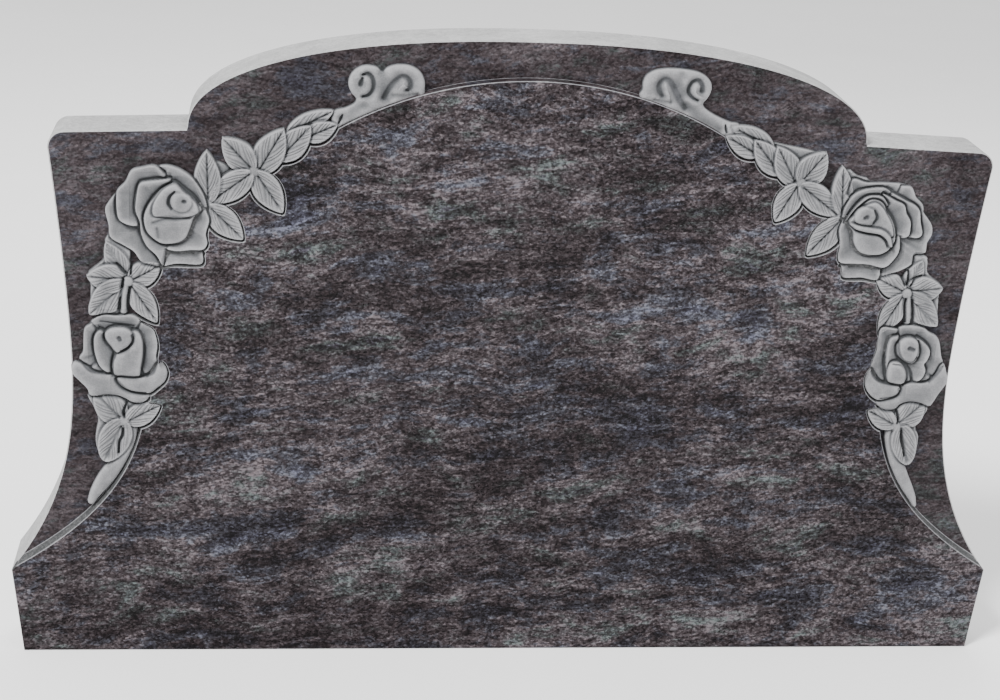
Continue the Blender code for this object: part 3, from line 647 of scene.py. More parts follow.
@dataclass(frozen=True)
class Ribbon:
    """A rounded ribbon along points of (out, up, width): a stem, or the fold of a petal."""

    line: Rows
    height: float
    groove: float = 0.6
    crown: float = 0.30
    fullness: float = 2.5
    roll: float = 0.6
    margin: float = 34.0

    def outline(self) -> np.ndarray:
        """Draw the closed outline, along one edge and back along the other.

        Returns:
            Rows of (out, up).
        """
        path = smooth_line(self.line, 30)
        offset = normals_of(path) * path[:, 2:] / 2
        return np.concatenate((path[:, :2] + offset, (path[:, :2] - offset)[::-1]))

    def lay_on(self, relief: Relief) -> None:
        """Raise the ribbon: across it, the top falls from the middle by a power of the distance.

        Args:
            relief: what it is carved on.
        """
        path = smooth_line(self.line, 5 * len(self.line))
        where = relief.window(path, self.margin)
        distance, width = nearest_on_line(relief.out[where], relief.up[where], path)
        across = np.clip(2.0 * distance / width, 0.0, 1.0)
        top = self.height * (1.0 - self.crown * across**self.fullness)
        relief.raise_form(where, distance - width / 2, top, self.groove, roll=self.roll)


@dataclass(frozen=True)
class Plate:
    """A form inside a drawn outline: a scroll's body, a broad petal, or rough stone left between forms."""

    edge_line: Rows
    height: float = 5.0
    filler: float = 0.15
    roll: float = 0.7
    roll_reach: float = 1.4
    groove: float = 0.0

    def outline(self) -> np.ndarray:
        """The closed outline."""
        return smooth_line(self.edge_line, 4 * len(self.edge_line), closed=True)

    def lay_on(self, relief: Relief) -> None:
        """Raise the plate: the sign of the distance to its outline comes from an even-odd count.

        Args:
            relief: what it is carved on.
        """
        line = self.outline()
        line = np.concatenate((line, line[:1]))
        where = relief.window(line)
        out, up = relief.out[where], relief.up[where]
        distance, _ = nearest_on_line(out, up, np.column_stack((line, np.zeros(len(line)))))
        inside = np.zeros(out.shape, bool)
        for (x0, y0), (x1, y1) in zip(line[:-1], line[1:]):
            reach = x0 + (up - y0) / (y1 - y0 if y1 != y0 else 1.0) * (x1 - x0)
            inside ^= ((up < y0) != (up < y1)) & (out < reach)
        beyond = np.where(inside, -distance, distance)
        relief.raise_form(where, beyond, np.full(out.shape, self.height), self.groove, self.filler,
                          self.roll, self.roll_reach)


@dataclass(frozen=True)
class Slot:
    """A deep cut along points of (out, up, width), with painted shade at its bottom."""

    line: Rows
    depth: float = 7.0
    # how dark the painted shade at its bottom is
    dark: float = 1.0
    shoulder: float = 0.3

    def lay_on(self, relief: Relief) -> None:
        """Cut the slot into what is there."""
        relief.cut_line(self.line, self.depth, self.dark, self.shoulder)


# The garlands' drawings, in millimetres


LEFT_LEAVES = (
    Leaf((325, 757), (266, 789), 26, 8.5),
    Leaf((303, 751), (260, 771), 27, 9),
    Leaf((336, 722), (295, 768), 36, 10),
    Leaf((364, 703), (330, 763), 40, 10.8),
    Leaf((369, 706), (409, 749), 38, 10.4),
    Leaf((367, 705), (330, 650), 37, 11.2),
    Leaf((371, 704), (427, 661), 36, 11.2),
    Leaf((428, 661), (430, 731), 35, 10),
    Leaf((428, 657), (382, 612), 36, 11),
    Leaf((536, 552), (562, 604), 30, 8.8),
    Leaf((535, 551), (588, 557), 40, 10.6),
    Leaf((535, 549), (586, 503), 42, 9.8),
    Leaf((533, 550), (490, 574), 33, 10.8),
    Leaf((532, 547), (496, 493), 33, 10.6),
    Leaf((541, 347), (582, 392), 40, 10.4),
    Leaf((540, 348), (493, 374), 31, 11),
    Leaf((543, 350), (570, 290), 43, 10, bluntness=0.52),
)

RIGHT_LEAVES = (
    Leaf((325, 752), (266, 781), 28, 8.5),
    Leaf((306, 742), (259, 768), 27, 9),
    Leaf((338, 717), (299, 763), 34, 10),
    Leaf((362, 702), (331, 755), 36, 10.8),
    Leaf((366, 704), (399, 748), 41, 10.4),
    Leaf((364, 703), (336, 651), 37, 11.2),
    Leaf((367, 703), (425, 660), 36, 11.2),
    Leaf((430, 660), (424, 729), 31, 10),
    Leaf((430, 656), (385, 604), 38, 11),
    Leaf((533, 553), (551, 598), 26, 8.8),
    Leaf((532, 552), (584, 559), 40, 10.6),
    Leaf((533, 549), (583, 503), 39, 9.8),
    Leaf((531, 552), (488, 572), 33, 10.8),
    Leaf((530, 548), (500, 490), 34, 10.6),
    Leaf((544, 354), (580, 388), 38, 10.4),
    Leaf((541, 352), (497, 376), 30, 11),
    Leaf((549, 351), (566, 292), 37, 10, bluntness=0.52),
)

LEFT_UPPER_ROSE = (
    Petal(drawn("548 671, 557 659, 562 648, 558 628, 556 611, 540 601, 526 592, 516 578, 502 574, 491 571"),
          (492, 640), 8),
    Petal(drawn("489 571, 468 576, 437 576, 436 597"), (470, 612), 7.8),
    Petal(drawn("500 707, 482 710, 467 706, 452 697, 443 687, 434 671, 430 656, 432 648"), (474, 655), 9),
    Petal(drawn("519 627, 532 629, 544 636, 547 652, 547 668, 545 676, 535 687, 527 702, 513 707, 497 709, 484 698"),
          (482, 655), 9.8),
    Petal(drawn("432 652, 427 638, 431 619, 429 606, 435 597, 452 596, 470 594, 490 598"), (474, 638), 10.2, 3),
    Petal(drawn("477 692, 492 690, 508 688, 517 684, 521 665, 522 648, 517 633, 515 616, 508 600, 496 588, 488 573"),
          (474, 640), 11.6, 3.5),
    Dome(drawn("472 687, 461 678, 448 668, 441 658, 437 651, 447 641, 452 627, 458 613, 469 606, 485 604, 496 608, "
               "508 620, 512 637, 508 652, 498 667, 487 680"), 9.5, 12.8),
    Dome(drawn("471 685, 461 676, 449 666, 442 656, 442 648, 455 642, 470 640, 487 642, 499 643, 500 655, 494 668, "
               "484 680"), 12.2, 13.3, 0.55),
    Dome(drawn("472 673, 462 674, 452 669, 449 660, 455 651, 466 649, 475 655, 477 665"), 12.8, 13.8, 0.3),
)

RIGHT_UPPER_ROSE = (
    Petal(drawn("436 690, 440 711, 460 707, 482 707, 508 706, 522 702"), (480, 655), 7),
    Petal(drawn("508 703, 523 702, 531 688, 542 677, 544 667, 552 657, 558 648, 559 636, 554 624, 553 609, 538 606, "
                "536 594, 520 583, 502 577, 492 573"), (492, 640), 8),
    Petal(drawn("492 600, 490 570, 466 572, 440 572, 437 587, 431 594"), (466, 612), 7.4),
    Petal(drawn("489 697, 517 683, 530 677, 538 669, 541 653, 545 637, 538 631, 524 632"), (486, 650), 9.2),
    Petal(drawn("430 654, 433 672, 441 687, 452 695, 466 699, 484 700, 496 694"), (474, 652), 9.4),
    Petal(drawn("484 692, 502 683, 515 677, 519 666, 526 655, 527 646, 525 634, 509 628"), (480, 648), 10.6),
    Petal(drawn("433 655, 428 640, 431 622, 429 604, 434 594, 452 593, 474 592, 496 588, 508 598, 515 612, 514 632"),
          (474, 640), 10.4, 3),
    Petal(drawn("436 651, 445 668, 458 684, 470 689, 484 687, 493 676"), (474, 652), 11.2, 4),
    Dome(drawn("440 651, 448 664, 458 676, 467 683, 478 683, 487 677, 492 667, 499 658, 505 646, 508 630, 504 617, "
               "490 607, 472 606, 458 611, 450 624, 448 637, 442 645"), 9.5, 12.6),
    Dome(drawn("441 652, 450 665, 461 675, 474 680, 484 674, 492 663, 500 650, 504 634, 497 632, 484 636, 463 640, "
               "449 645"), 11.8, 13.1, 0.6),
    Dome(drawn("462 674, 474 669, 478 659, 473 650, 461 648, 450 652, 447 660, 452 670"), 12.8, 13.8, 0.35),
    Ribbon(drawn("444 649 3, 455 644 6.5, 471 641.5 7.5, 486 639 7.5, 497 631 6.5, 502 620 4"), 13.8, 0.6, 0.12),
)

LEFT_LOWER_ROSE = (
    Dome(drawn("516 486, 548 492, 580 480, 588 440, 582 404, 548 398, 514 404, 506 440"), 7, 7.8),
    Petal(drawn("590 482, 584 491, 577 498, 565 502, 550 501, 530 502, 520 497, 515 487, 515 472"), (550, 456), 8.8),
    Petal(drawn("518 492, 503 485, 498 474, 496 459, 498 446, 497 433, 503 420, 514 416"), (540, 450), 9.2),
    Petal(drawn("583 489, 592 482, 594 466, 595 449, 600 438, 590 425"), (552, 448), 9),
    Petal(drawn("566 477, 573 479, 579 471, 580 457, 578 443, 572 428, 560 417"), (545, 446), 11, 4),
    Dome(drawn("532 478, 529 467, 535 457, 545 451, 552 447, 556 436, 557 424, 551 412, 535 409, 522 412, 519 430, "
               "516 452, 517 470, 523 479"), 10.4, 13, 0.5),
    Dome(drawn("566 474, 560 482, 548 485, 536 483, 529 475, 531 464, 538 456, 547 451, 553 450, 558 457, 564 465"),
         11.6, 13.4, 0.6),
    Plate(drawn("606 434, 611 426, 609 416, 600 406, 591 396, 586 386, 566 388, 552 387, 541 383, 530 377, 517 377, "
                "507 386, 513 391, 527 392, 538 395, 547 402, 551 409, 558 415, 572 417, 584 421, 592 428"),
          9.6, 0, 2.2, 4, 1),
    Plate(drawn("492 438, 485 429, 483 420, 487 408, 497 399, 508 391, 527 392, 539 396, 547 402, 551 410, 545 413, "
                "530 412, 512 414, 503 421"), 10.6, 0, 2.2, 4, 1),
)

RIGHT_LOWER_ROSE = (
    Dome(drawn("516 486, 548 492, 580 480, 588 440, 582 404, 548 398, 514 404, 506 440"), 7, 7.8),
    Petal(drawn("520 494, 533 501, 550 502, 565 499, 573 493, 584 487, 590 478, 595 458, 600 443, 588 424"),
          (550, 452), 8.8),
    Petal(drawn("528 497, 505 499, 500 482, 500 466, 496 450, 495 436, 504 421, 518 416"), (540, 450), 9.2),
    Petal(drawn("530 487, 519 482, 516 464, 518 440, 524 424, 536 414"), (546, 448), 10.8, 4),
    Petal(drawn("556 484, 568 477, 577 466, 575 453, 571 446, 574 436, 570 424, 560 415"), (545, 446), 10.8, 4),
    Dome(drawn("522 446, 534 448, 543 441, 548 430, 547 418, 538 411, 526 414, 520 428"), 10.4, 12.8, 0.6),
    Dome(drawn("530 474, 532 460, 541 451, 553 447, 560 454, 562 466, 558 479, 548 485, 537 483"), 11.6, 13.4, 0.6),
    Plate(drawn("600 446, 606 433, 609 420, 604 410, 598 400, 592 388, 587 382, 573 387, 558 389, 545 385, 536 377, "
                "521 377, 508 386, 514 393, 533 396, 540 402, 541 410, 556 416, 572 416, 583 419, 592 430"),
          9.6, 0, 2.2, 4, 1),
    Plate(drawn("494 438, 488 425, 490 411, 499 398, 512 391, 533 396, 540 402, 540 410, 527 414, 512 417, 503 425"),
          10.6, 0, 2.2, 4, 1),
)


# Stems as (out, up, width), from the leaves down to the panel's corner line
LEFT_STEM = drawn("532 352 19, 535 325 17, 541 305 15, 550 290 18, 563 272 22, 574 256 20, 583 242 15, 589 229 10")
RIGHT_STEM = drawn("533 352 13, 536 328 13, 545 302 16, 554 286 19, 562 270 18, 571 254 16, 579 240 12, 584 228 7")
SPRIG_STEM = drawn("535 552 8.5, 539 525 8.5, 541 496 8.5")

# Places where the leaves of a sprig meet
HUBS = drawn("368 705, 429 658, 534 550, 542 350")

# The scrolls: a broad body with a rounded edge, and the grooves that wind its two volutes
LEFT_SCROLL = (
    Plate(drawn("264 789, 250 793, 239 799, 236 806, 242 813, 246 822, 246 831, 242 840, 234 847, 223 850, 211 848, "
                "203 842, 197 847.5, 187 851.5, 173 852, 162 849, 153 842, 148 832, 147.5 820, 148 811, 163 807.5, "
                "177 803, 190 797.5, 204 791.5, 218 785.5, 232 779.5, 246 773, 259 766, 267 769, 268 780"),
          11.5, 0, 4.6, 4.2, 0.6),
    Slot(drawn("231 825.5 6, 230.5 828.5 6.4, 229 833 3.6"), 6, 0.8, 0.5),
    Slot(drawn("228.5 838.5 2.6, 222 839.5 5.4, 216.5 835 5.2, 214 827 5.4, 215.5 818 5, 221 811.5 4.4, "
               "228 809.5 2.4"), 6.5, 0.75, 0.6),
    Slot(drawn("200 808 6, 194 820 7, 187 830 7, 178 837 6.4, 170 835 6, 166 828 6.6, 167 821 6, 171 819.5 3"),
         6.5, 0.65, 0.7),
    Slot(drawn("205 840 6, 202 831 7, 203 818 8, 196 806 6"), 3.2, 0.45, 1),
    Slot(drawn("188 811 4, 174 811.5 5, 157 813.5 3"), 3.2, 0.3, 0.9),
    Slot(drawn("226 797 5, 240 789 7, 254 781 5"), 3, 0.4, 1),
    Slot(drawn("254 784 1.6, 256 779 3.4, 258.5 773 1.6"), 4.5, 0.8),
)
RIGHT_SCROLL = (
    Plate(drawn("277 783, 263 786.5, 250 791.5, 237 798, 227 805, 224 812, 229.5 819, 233.5 828, 233 838, 227 846, "
                "217 852, 204 855, 188 856.5, 172 856.5, 156 853.5, 146 847, 142 838, 141.5 828, 137 821, 136 813, "
                "148 810.5, 163 806, 178 800.5, 193 795.5, 207 788.5, 222 781, 238 773.5, 254 765.5, 264 761, "
                "273 768"), 11.5, 0, 4.6, 4.2, 0.6),
    Slot(drawn("221.5 828.5 7, 221 836 5.8, 215.5 842 6, 208 840.5 5, 203.5 833 4.6, 204 825 4.4, 209 819 3.6, "
               "216 815.5 2.2"), 7, 0.7, 0.62),
    Slot(drawn("168 820.5 4, 164.5 826 6.8, 163 835 6.6, 168.5 842.5 6.2, 176 841 6.8, 182 833.5 7.6, 187 824 8.4, "
               "193 814 8.6, 200 804 6"), 6.5, 0.6, 0.75),
    Slot(drawn("193 850 5, 190 838 6, 196 824 7"), 3, 0.4, 1),
    Slot(drawn("203 808 5, 218 794 8, 232 786 8, 248 777 5"), 3.6, 0.5, 1),
    Slot(drawn("180 812 3, 168 813 4, 158 815 2.6"), 2.6, 0.3, 0.8),
    Slot(drawn("256.5 783 1.6, 257.5 778 3.2, 259 773 1.8"), 4.5, 0.8),
)

LEFT_SLOTS = (
    Slot(drawn("524 585 2.6, 528.5 576 3.2, 530.5 561 2.2")),
    Slot(drawn("549 575 2, 543.5 568 3, 537.5 561 2.4")),
    Slot(drawn("540 552.5 2.4, 542 542 2.6")),
    Slot(drawn("532 542 2.4, 534.2 528 3.4, 534.7 513 3.6, 533 507 2.8")),
    Slot(drawn("545.3 526 2, 546.3 514 3.8, 548 511 2.4")),
    Slot(drawn("537 379 2, 541 370 3.2, 543 362 3.6, 541.6 355 2.4")),
    Slot(drawn("544 338 2.4, 545 328 4, 549 319 3, 550.4 303 2.8")),
)
RIGHT_SLOTS = (
    Slot(drawn("519 580 2.4, 524 573 3, 530 562 2.4")),
    Slot(drawn("533 583 2.2, 534 572 2.6, 534 562 2")),
    Slot(drawn("552 576 1.8, 543 571 2.6, 538 561 2.2")),
    Slot(drawn("534 542 2.2, 534 528 3, 537 508 2.8")),
    Slot(drawn("544 540 2, 547 522 3, 548 505 2.6")),
    Slot(drawn("541 374 2.6, 544 362 3, 543 356 2.2")),
    Slot(drawn("551 343 2.6, 553 330 4.2, 557 318 3.4, 560 305 2.4")),
)

# Lines the carver cut over the finished petals, as (out, up, width)
LEFT_LINES = (
    Slot(drawn("472 676 2.2, 478.5 669 3.8, 480 660 4.2, 476 652.5 2.2"), 4.5),
    Slot(drawn("460 663.5 5, 458.5 663 5"), 3.5, 0.85),
    Slot(drawn("500 633 2, 478 640 3, 453 640 2"), 2.2, 0.12, 0.8),
    Slot(drawn("495 625 1.8, 493 613 3"), 2, 0.12, 0.8),
    Slot(drawn("517 688 2, 503 689 3, 489 694 1.8"), 2, 0.2, 0.7),
    Slot(drawn("547 471 6, 545.8 468.5 5"), 3.5, 0.85),
    Slot(drawn("567 475 2.2, 565 467 3.4, 558 457 3.2, 552.5 448 3.4, 556 436 3.2, 557 420 3.4"), 4),
    Slot(drawn("530 475 2.6, 529 466 3.6, 535 457.5 3.4, 545 451.5 2.6"), 4),
    Slot(drawn("572 493 2, 550 489 2.6, 528 486 2.4"), 1.6, 0.45),
    Slot(drawn("600 437 2.6, 592 427 3.4, 584 420.5 3.2, 570 418 2.8, 560 418 2.4"), 3.5, 0.8),
    Slot(drawn("498 432 3.6, 503 421 5, 511 416 4.6"), 4, 0.9),
    Slot(drawn("551 409 3, 545 401 4.2, 538 395 3.6, 527 392 2.6, 513 391 2.2"), 2.6, 0.7),
    Slot(drawn("557 414 2.4, 530 413 3, 510 415 2.6"), 2, 0.6),
)
RIGHT_LINES = (
    Slot(drawn("474 669 2, 478 660 4.4, 474 652 3"), 4),
    Slot(drawn("463.5 660 6.5, 461.5 659 5.5"), 3.5, 0.75),
    Slot(drawn("452 641 2, 466 637 2.4, 484 634 2.6, 494 626 2.8, 498 618 2.2"), 2.2, 0.6),
    Slot(drawn("487 696 3.4, 497 692 3"), 1.6, 0.5),
    Slot(drawn("553 608 2.4, 539 607 2.6, 537 595 2.2"), 2.4, 0.5),
    Slot(drawn("547 470 6.5, 553 468 5"), 4, 0.9),
    Slot(drawn("531 478 2.2, 532 464 3.6, 540 452 3.4, 553 449 3, 559 456 2.6"), 4, 0.9),
    Slot(drawn("560 480 2.4, 561 466 3, 559 455 2.4"), 3, 0.6),
    Slot(drawn("540 447 2, 550 440 3, 556 430 3, 558 420 3"), 2.6, 0.7),
    Slot(drawn("526 446 1.6, 540 443 2, 547 432 3, 547 419 3"), 2.4, 0.6),
    Slot(drawn("497 434 3, 503 426 6, 512 418 3.2, 530 414 2.6, 545 413 2.4"), 4.5, 1),
    Slot(drawn("600 442 3, 592 430 4, 583 419 3"), 3, 0.75),
    Slot(drawn("539 408 2.4, 540 402 3, 532 396 2.4, 514 393 1.8"), 2.2, 0.45),
)

LEFT_WEBS = (
    Plate(drawn("398 690, 424 690, 424 713, 414 716, 401 708"), 6.5),
    Plate(drawn("533 604, 561 612, 564 582, 587 560, 583 546, 584 520, 586 506, 546 500, 536 520, 534 560"), 8.6),
    Plate(drawn("512 384, 540 389, 588 389, 584 372, 577 352, 579 338, 581 322, 579 306, 572 294, 560 290, 545 300, "
                "530 346, 512 362"), 8.6),
)
RIGHT_WEBS = (
    Plate(drawn("322 757, 345 756, 388 747, 392 738, 372 722, 352 724"), 6.5),
    Plate(drawn("430 724, 446 716, 464 710, 460 690, 432 682"), 6.5),
    Plate(drawn("533 600, 556 604, 560 580, 582 562, 580 546, 582 520, 582 505, 546 500, 536 520, 533 560"), 8.6),
    Plate(drawn("512 382, 545 386, 584 386, 581 366, 573 355, 571 346, 577 335, 577 312, 574 298, 562 292, 550 298, "
                "532 346, 512 366"), 8.6),
)


# The slab and the garlands


Form = Petal | Dome | Leaf | Ribbon | Plate | Slot


def both_halves(half: np.ndarray) -> np.ndarray:
    """A right half that ends on the centre line, with its mirror image before it, left to right."""
    left = half[:-1] * (-1.0, 1.0)
    return np.concatenate((left, half[::-1]))


def at_depth(line: np.ndarray, depth: float | np.ndarray) -> np.ndarray:
    """Rows of (X, Y, Z) in metres for a drawn line, at the Y given in millimetres."""
    return np.column_stack((line[:, 0], np.broadcast_to(depth, len(line)), line[:, 1])) * MM


def stacked(name: str, rings: Sequence[np.ndarray]) -> bpy.types.Object:
    """Make a closed solid from rings of places: walls between neighbours, and a cap at each end.

    Every wall face joins place k and k + 1 of a ring to the same places of the next ring.

    Args:
        name: the object's name.
        rings: arrays of (X, Y, Z), all of one length and order.

    Returns:
        The new object, with its faces pointing outwards.
    """
    count, last = len(rings[0]), len(rings) - 1
    here = np.arange(count)
    after = np.roll(here, -1)
    faces = []
    for step in range(last):
        low, high = step * count, (step + 1) * count
        faces += np.column_stack((low + here, low + after, high + after, high + here)).tolist()
    faces.append(here[::-1].tolist())
    faces.append((last * count + here).tolist())
    mesh = bpy.data.meshes.new(name)
    mesh.from_pydata(np.concatenate(rings).tolist(), [], faces)
    shape = bmesh.new()
    shape.from_mesh(mesh)
    bmesh.ops.recalc_face_normals(shape, faces=shape.faces)
    shape.to_mesh(mesh)
    shape.free()
    return shown_object(name, mesh)


@dataclass
class Garland:
    """One carved garland: a scroll, leaves and two roses down one side of the panel."""

    side: Side
    scroll: tuple[Form, ...]
    leaves: tuple[Leaf, ...]
    upper_rose: tuple[Form, ...]
    lower_rose: tuple[Form, ...]
    stem: Rows
    webs: tuple[Plate, ...]
    slots: tuple[Slot, ...]
    lines: tuple[Slot, ...]
    stem_height: float = 10.0
    hub_height: float = 10.4
    hub_radius: float = 7.0
    hub_rise: float = 1.5
    hub_turn: float = 5.5
    span: tuple[float, float, float, float] = (138.0, 625.2, 214.8, 862.0)
    parting: float = 590.0

    def forms(self) -> list[Form]:
        """List the garland's forms in the order in which it was carved: low ones first.

        Returns:
            The forms, with the hubs where a sprig's leaves meet, and last the lines cut over petals.
        """
        hubs = [Dome(tuple((out + self.hub_radius * math.cos(turn), up + self.hub_radius * math.sin(turn))
                           for turn in np.linspace(0, self.hub_turn, 8)),
                     self.hub_height - self.hub_rise, self.hub_height, 0.0)
                for out, up in HUBS]
        return [*self.webs, *self.scroll, Ribbon(self.stem, self.stem_height, 0.0, 0.35),
                *self.leaves, Ribbon(SPRIG_STEM, self.stem_height, 0.6), *hubs, *self.slots,
                *self.upper_rose, *self.lower_rose, *self.lines]

    def pockets(self, panel: "Slab") -> list[np.ndarray]:
        """Outlines of the pockets that its leaves and petals need in the panel."""
        outlines = [form.outline() for form in (*self.leaves, *self.upper_rose, *self.lower_rose)]
        return [line for line in outlines if panel.over_panel(line)]

    def build(self, slab: "Slab") -> list[bpy.types.Object]:
        """Carve the garland in two pieces that meet between the upper rose and the sprig.

        Args:
            slab: the stone that it is carved in.

        Returns:
            The upper and the lower piece.
        """
        relief = Relief(self.span)
        for form in self.forms():
            form.lay_on(relief)
        upper, lower = (self.parting, self.span[3] + 1.0), (self.span[2] - 1.0, self.parting)
        return [relief.piece(f"{self.side.name.lower()}_garland_{label}", self.side, slab.field_face, part)
                for label, part in (("upper", upper), ("lower", lower))]


@dataclass
class Slab:
    """The slab: its outline, the raised panel, the sunk field and the pockets in the panel."""

    base_width: float = 1400.0
    foot_width: float = 1374.0
    base_height: float = 126.0
    waist_width: float = 1224.0
    waist_height: float = 430.0
    shoulder_width: float = 1272.0
    shoulder_height: float = 752.0
    shoulder_radius: float = 22.0
    shoulder_fall: float = 6.0
    arch_width: float = 912.0
    arch_rise: float = 129.0
    arch_fullness: float = 2.25
    flare_curve: float = 2.6
    neck_curve: float = 1.4
    thickness: float = 100.0
    arris: float = 1.6
    field_width: float = 98.0
    field_depth: float = 14.0
    crown_margin: float = 51.0
    panel_flare_height: float = 390.0
    panel_flare_curve: float = 2.62
    panel_corner_inset: float = 3.0
    hidden_edge: Rows = drawn(
        "500.3 440, 512 462, 519 485, 523 530, 508 564, 492 578, 477 600, 468 640, 452 654, 430 660, 404 677, "
        "384 694, 368 706, 346 720, 325 735, 300 739.4")
    step_run: float = 1.2
    step_run_at_base: float = 4.5
    step_chamfer: float = 1.1
    quirk: float = 1.2
    quirk_rise: float = 0.35
    quirk_above: float = 0.25
    wall_bend: tuple[float, float] = (0.5, 0.55)
    pocket_gap: float = 2.5
    pocket_floor: float = 3.0
    honed_above: float = 700.0

    @property
    def radius(self) -> float:
        """Radius of the panel's arc, which leaves the field its width at the waist."""
        return self.waist_width / 2 - self.field_width

    @property
    def centre(self) -> float:
        """Height of the centre of the panel's arc, which leaves a margin under the crown."""
        return self.shoulder_height + self.shoulder_fall + self.arch_rise - self.crown_margin - self.radius

    @property
    def front(self) -> float:
        """Y of the panel's face, in metres."""
        return -self.thickness / 2 * MM

    @property
    def field_face(self) -> float:
        """Y of the sunk field, in metres."""
        return self.front + self.field_depth * MM

    def over_panel(self, line: np.ndarray) -> bool:
        """Whether an outline reaches in over the panel's edge."""
        edge = self.panel_edge()
        return bool((line[:, 0] < np.interp(line[:, 1], edge[:, 1], edge[:, 0]) + self.pocket_gap).any())

    def outline(self) -> np.ndarray:
        """Draw the right half of the outline, from the foot to the crown.

        Below the waist the side swings out with a power of the way down, above it with a power of
        the way up. The shoulder's corner is a quarter circle and the crown is a superellipse.

        Returns:
            Rows of (out, up).
        """
        waist, shoulder = self.waist_width / 2, self.shoulder_width / 2
        corner = self.shoulder_height - self.shoulder_radius
        foot = np.array([[self.foot_width / 2, 0.0]])
        up = np.linspace(self.base_height, self.waist_height, 40, endpoint=False)
        below = (self.waist_height - up) / (self.waist_height - self.base_height)
        flare = np.column_stack((waist + (self.base_width / 2 - waist) * below**self.flare_curve, up))
        up = np.linspace(self.waist_height, corner, 24, endpoint=False)
        above = (up - self.waist_height) / (corner - self.waist_height)
        neck = np.column_stack((waist + (shoulder - waist) * above**self.neck_curve, up))
        turn = np.linspace(0.0, QUARTER_TURN, 10)
        bend = np.column_stack((shoulder - self.shoulder_radius * (1 - np.cos(turn)),
                                corner + self.shoulder_radius * np.sin(turn)))
        turn = np.linspace(0.0, QUARTER_TURN, 70)
        power = 2 / self.arch_fullness
        arch = np.column_stack((self.arch_width / 2 * np.cos(turn)**power,
                                self.shoulder_height + self.shoulder_fall + self.arch_rise * np.sin(turn)**power))
        arch[-1, 0] = 0.0
        return np.concatenate((foot, flare, neck, bend, arch))

    def panel_edge(self) -> np.ndarray:
        """Draw the right half of the panel's edge, from the base corner to the crown.

        A flare leaves the arc along its tangent and swings out with a power of the way down.
        Behind the garland the arc gives way to the hidden edge, under leaves and roses.

        Returns:
            Rows of (out, up).
        """
        leaving = math.asin((self.panel_flare_height - self.centre) / self.radius)
        start, slope = self.radius * math.cos(leaving), math.tan(leaving)
        fall = self.panel_flare_height - self.base_height
        swing = self.base_width / 2 + self.panel_corner_inset - start - slope * fall
        below = np.linspace(1.0, 0.0, 40, endpoint=False)
        flare = np.column_stack((start + slope * fall * below + swing * below**self.panel_flare_curve,
                                 self.panel_flare_height - fall * below))
        turn = np.linspace(leaving, QUARTER_TURN, 110)
        arc = np.column_stack((self.radius * np.cos(turn), self.centre + self.radius * np.sin(turn)))
        arc[-1, 0] = 0.0
        hidden = np.array(self.hidden_edge)
        return np.concatenate((flare, arc[arc[:, 1] < hidden[0, 1]], hidden, arc[arc[:, 1] > hidden[-1, 1]]))

    def body(self) -> bpy.types.Object:
        """Make the plain slab: its outline through the thickness, with a small arris front and back.

        Above the base the front arris lies where the sunk field will meet the outline.

        Returns:
            The slab, before anything is cut from it.
        """
        line = both_halves(self.outline())
        slim = line + self.arris * normals_of(line, closed=True)
        front, back = -self.thickness / 2, self.thickness / 2
        raised = line[:, 1] > self.base_height
        first = np.where(raised[:, None], slim, line)
        start = np.where(raised, front + self.field_depth, front + self.arris)
        rings = ((slim, front), (first, start), (line, start + self.arris), (line, back - self.arris), (slim, back))
        return stacked("stone_slab", [at_depth(ring, depth) for ring, depth in rings])

    def field_cutter(self) -> bpy.types.Object:
        """Make what is cut away round the panel: a chamfer, a wall, a fine quirk at its foot.

        The wall leans more towards the base, where the step runs out, in proportion to the way down,
        and it bends a little at a share of its run and of its depth.

        Returns:
            The cutter.
        """
        near = both_halves(self.panel_edge())
        drop = np.clip((self.panel_flare_height - near[:, 1:]) / (self.panel_flare_height - self.base_height), 0, 1)
        run = self.step_run + (self.step_run_at_base - self.step_run) * drop
        quirk = self.quirk * (self.quirk_above + (1.0 - self.quirk_above) * drop)
        away = -normals_of(near)
        high, wide = self.shoulder_height + self.arch_rise + CLEARANCE, self.base_width / 2 + CLEARANCE
        around = np.array(((wide, near[0, 1]), (wide, high), (-wide, high), (-wide, near[0, 1])))
        front, chamfer = -self.thickness / 2, self.step_chamfer
        floor = front + self.field_depth
        steps = ((-OVERRUN, front - OVERRUN), (0.0, front), (chamfer, front + chamfer),
                 (chamfer + self.wall_bend[0] * run, floor - self.wall_bend[1] * self.field_depth),
                 (chamfer + run, floor - self.quirk_rise), (chamfer + run + quirk, floor))
        return stacked("field_cutter", [at_depth(np.concatenate((near + away * reach, around)), depth)
                                        for reach, depth in steps])

    def pocket_cutter(self, line: np.ndarray, side: Side) -> bpy.types.Object:
        """Make a pocket in the panel round a form: a chamfered mouth and a steep wall.

        Each ring is the form's outline, pushed away from its middle by one distance all round.

        Args:
            line: the form's closed outline.
            side: which half of the stone it is on.

        Returns:
            The cutter.
        """
        loop = smooth_line(line[::2], 46, closed=True)
        middle = loop.mean(axis=0)
        ray = loop - middle
        reach = np.linalg.norm(ray, axis=1)[:, None]
        front, gap, chamfer = -self.thickness / 2, self.pocket_gap, self.step_chamfer
        steps = ((gap + OVERRUN, front - OVERRUN + chamfer), (gap + chamfer, front), (gap, front + chamfer),
                 (gap, front + self.field_depth - self.pocket_floor))
        flip = (side.value, 1.0)
        return stacked("pocket_cutter", [at_depth((middle + ray * (1 + push / reach)) * flip, depth)
                                         for push, depth in steps])

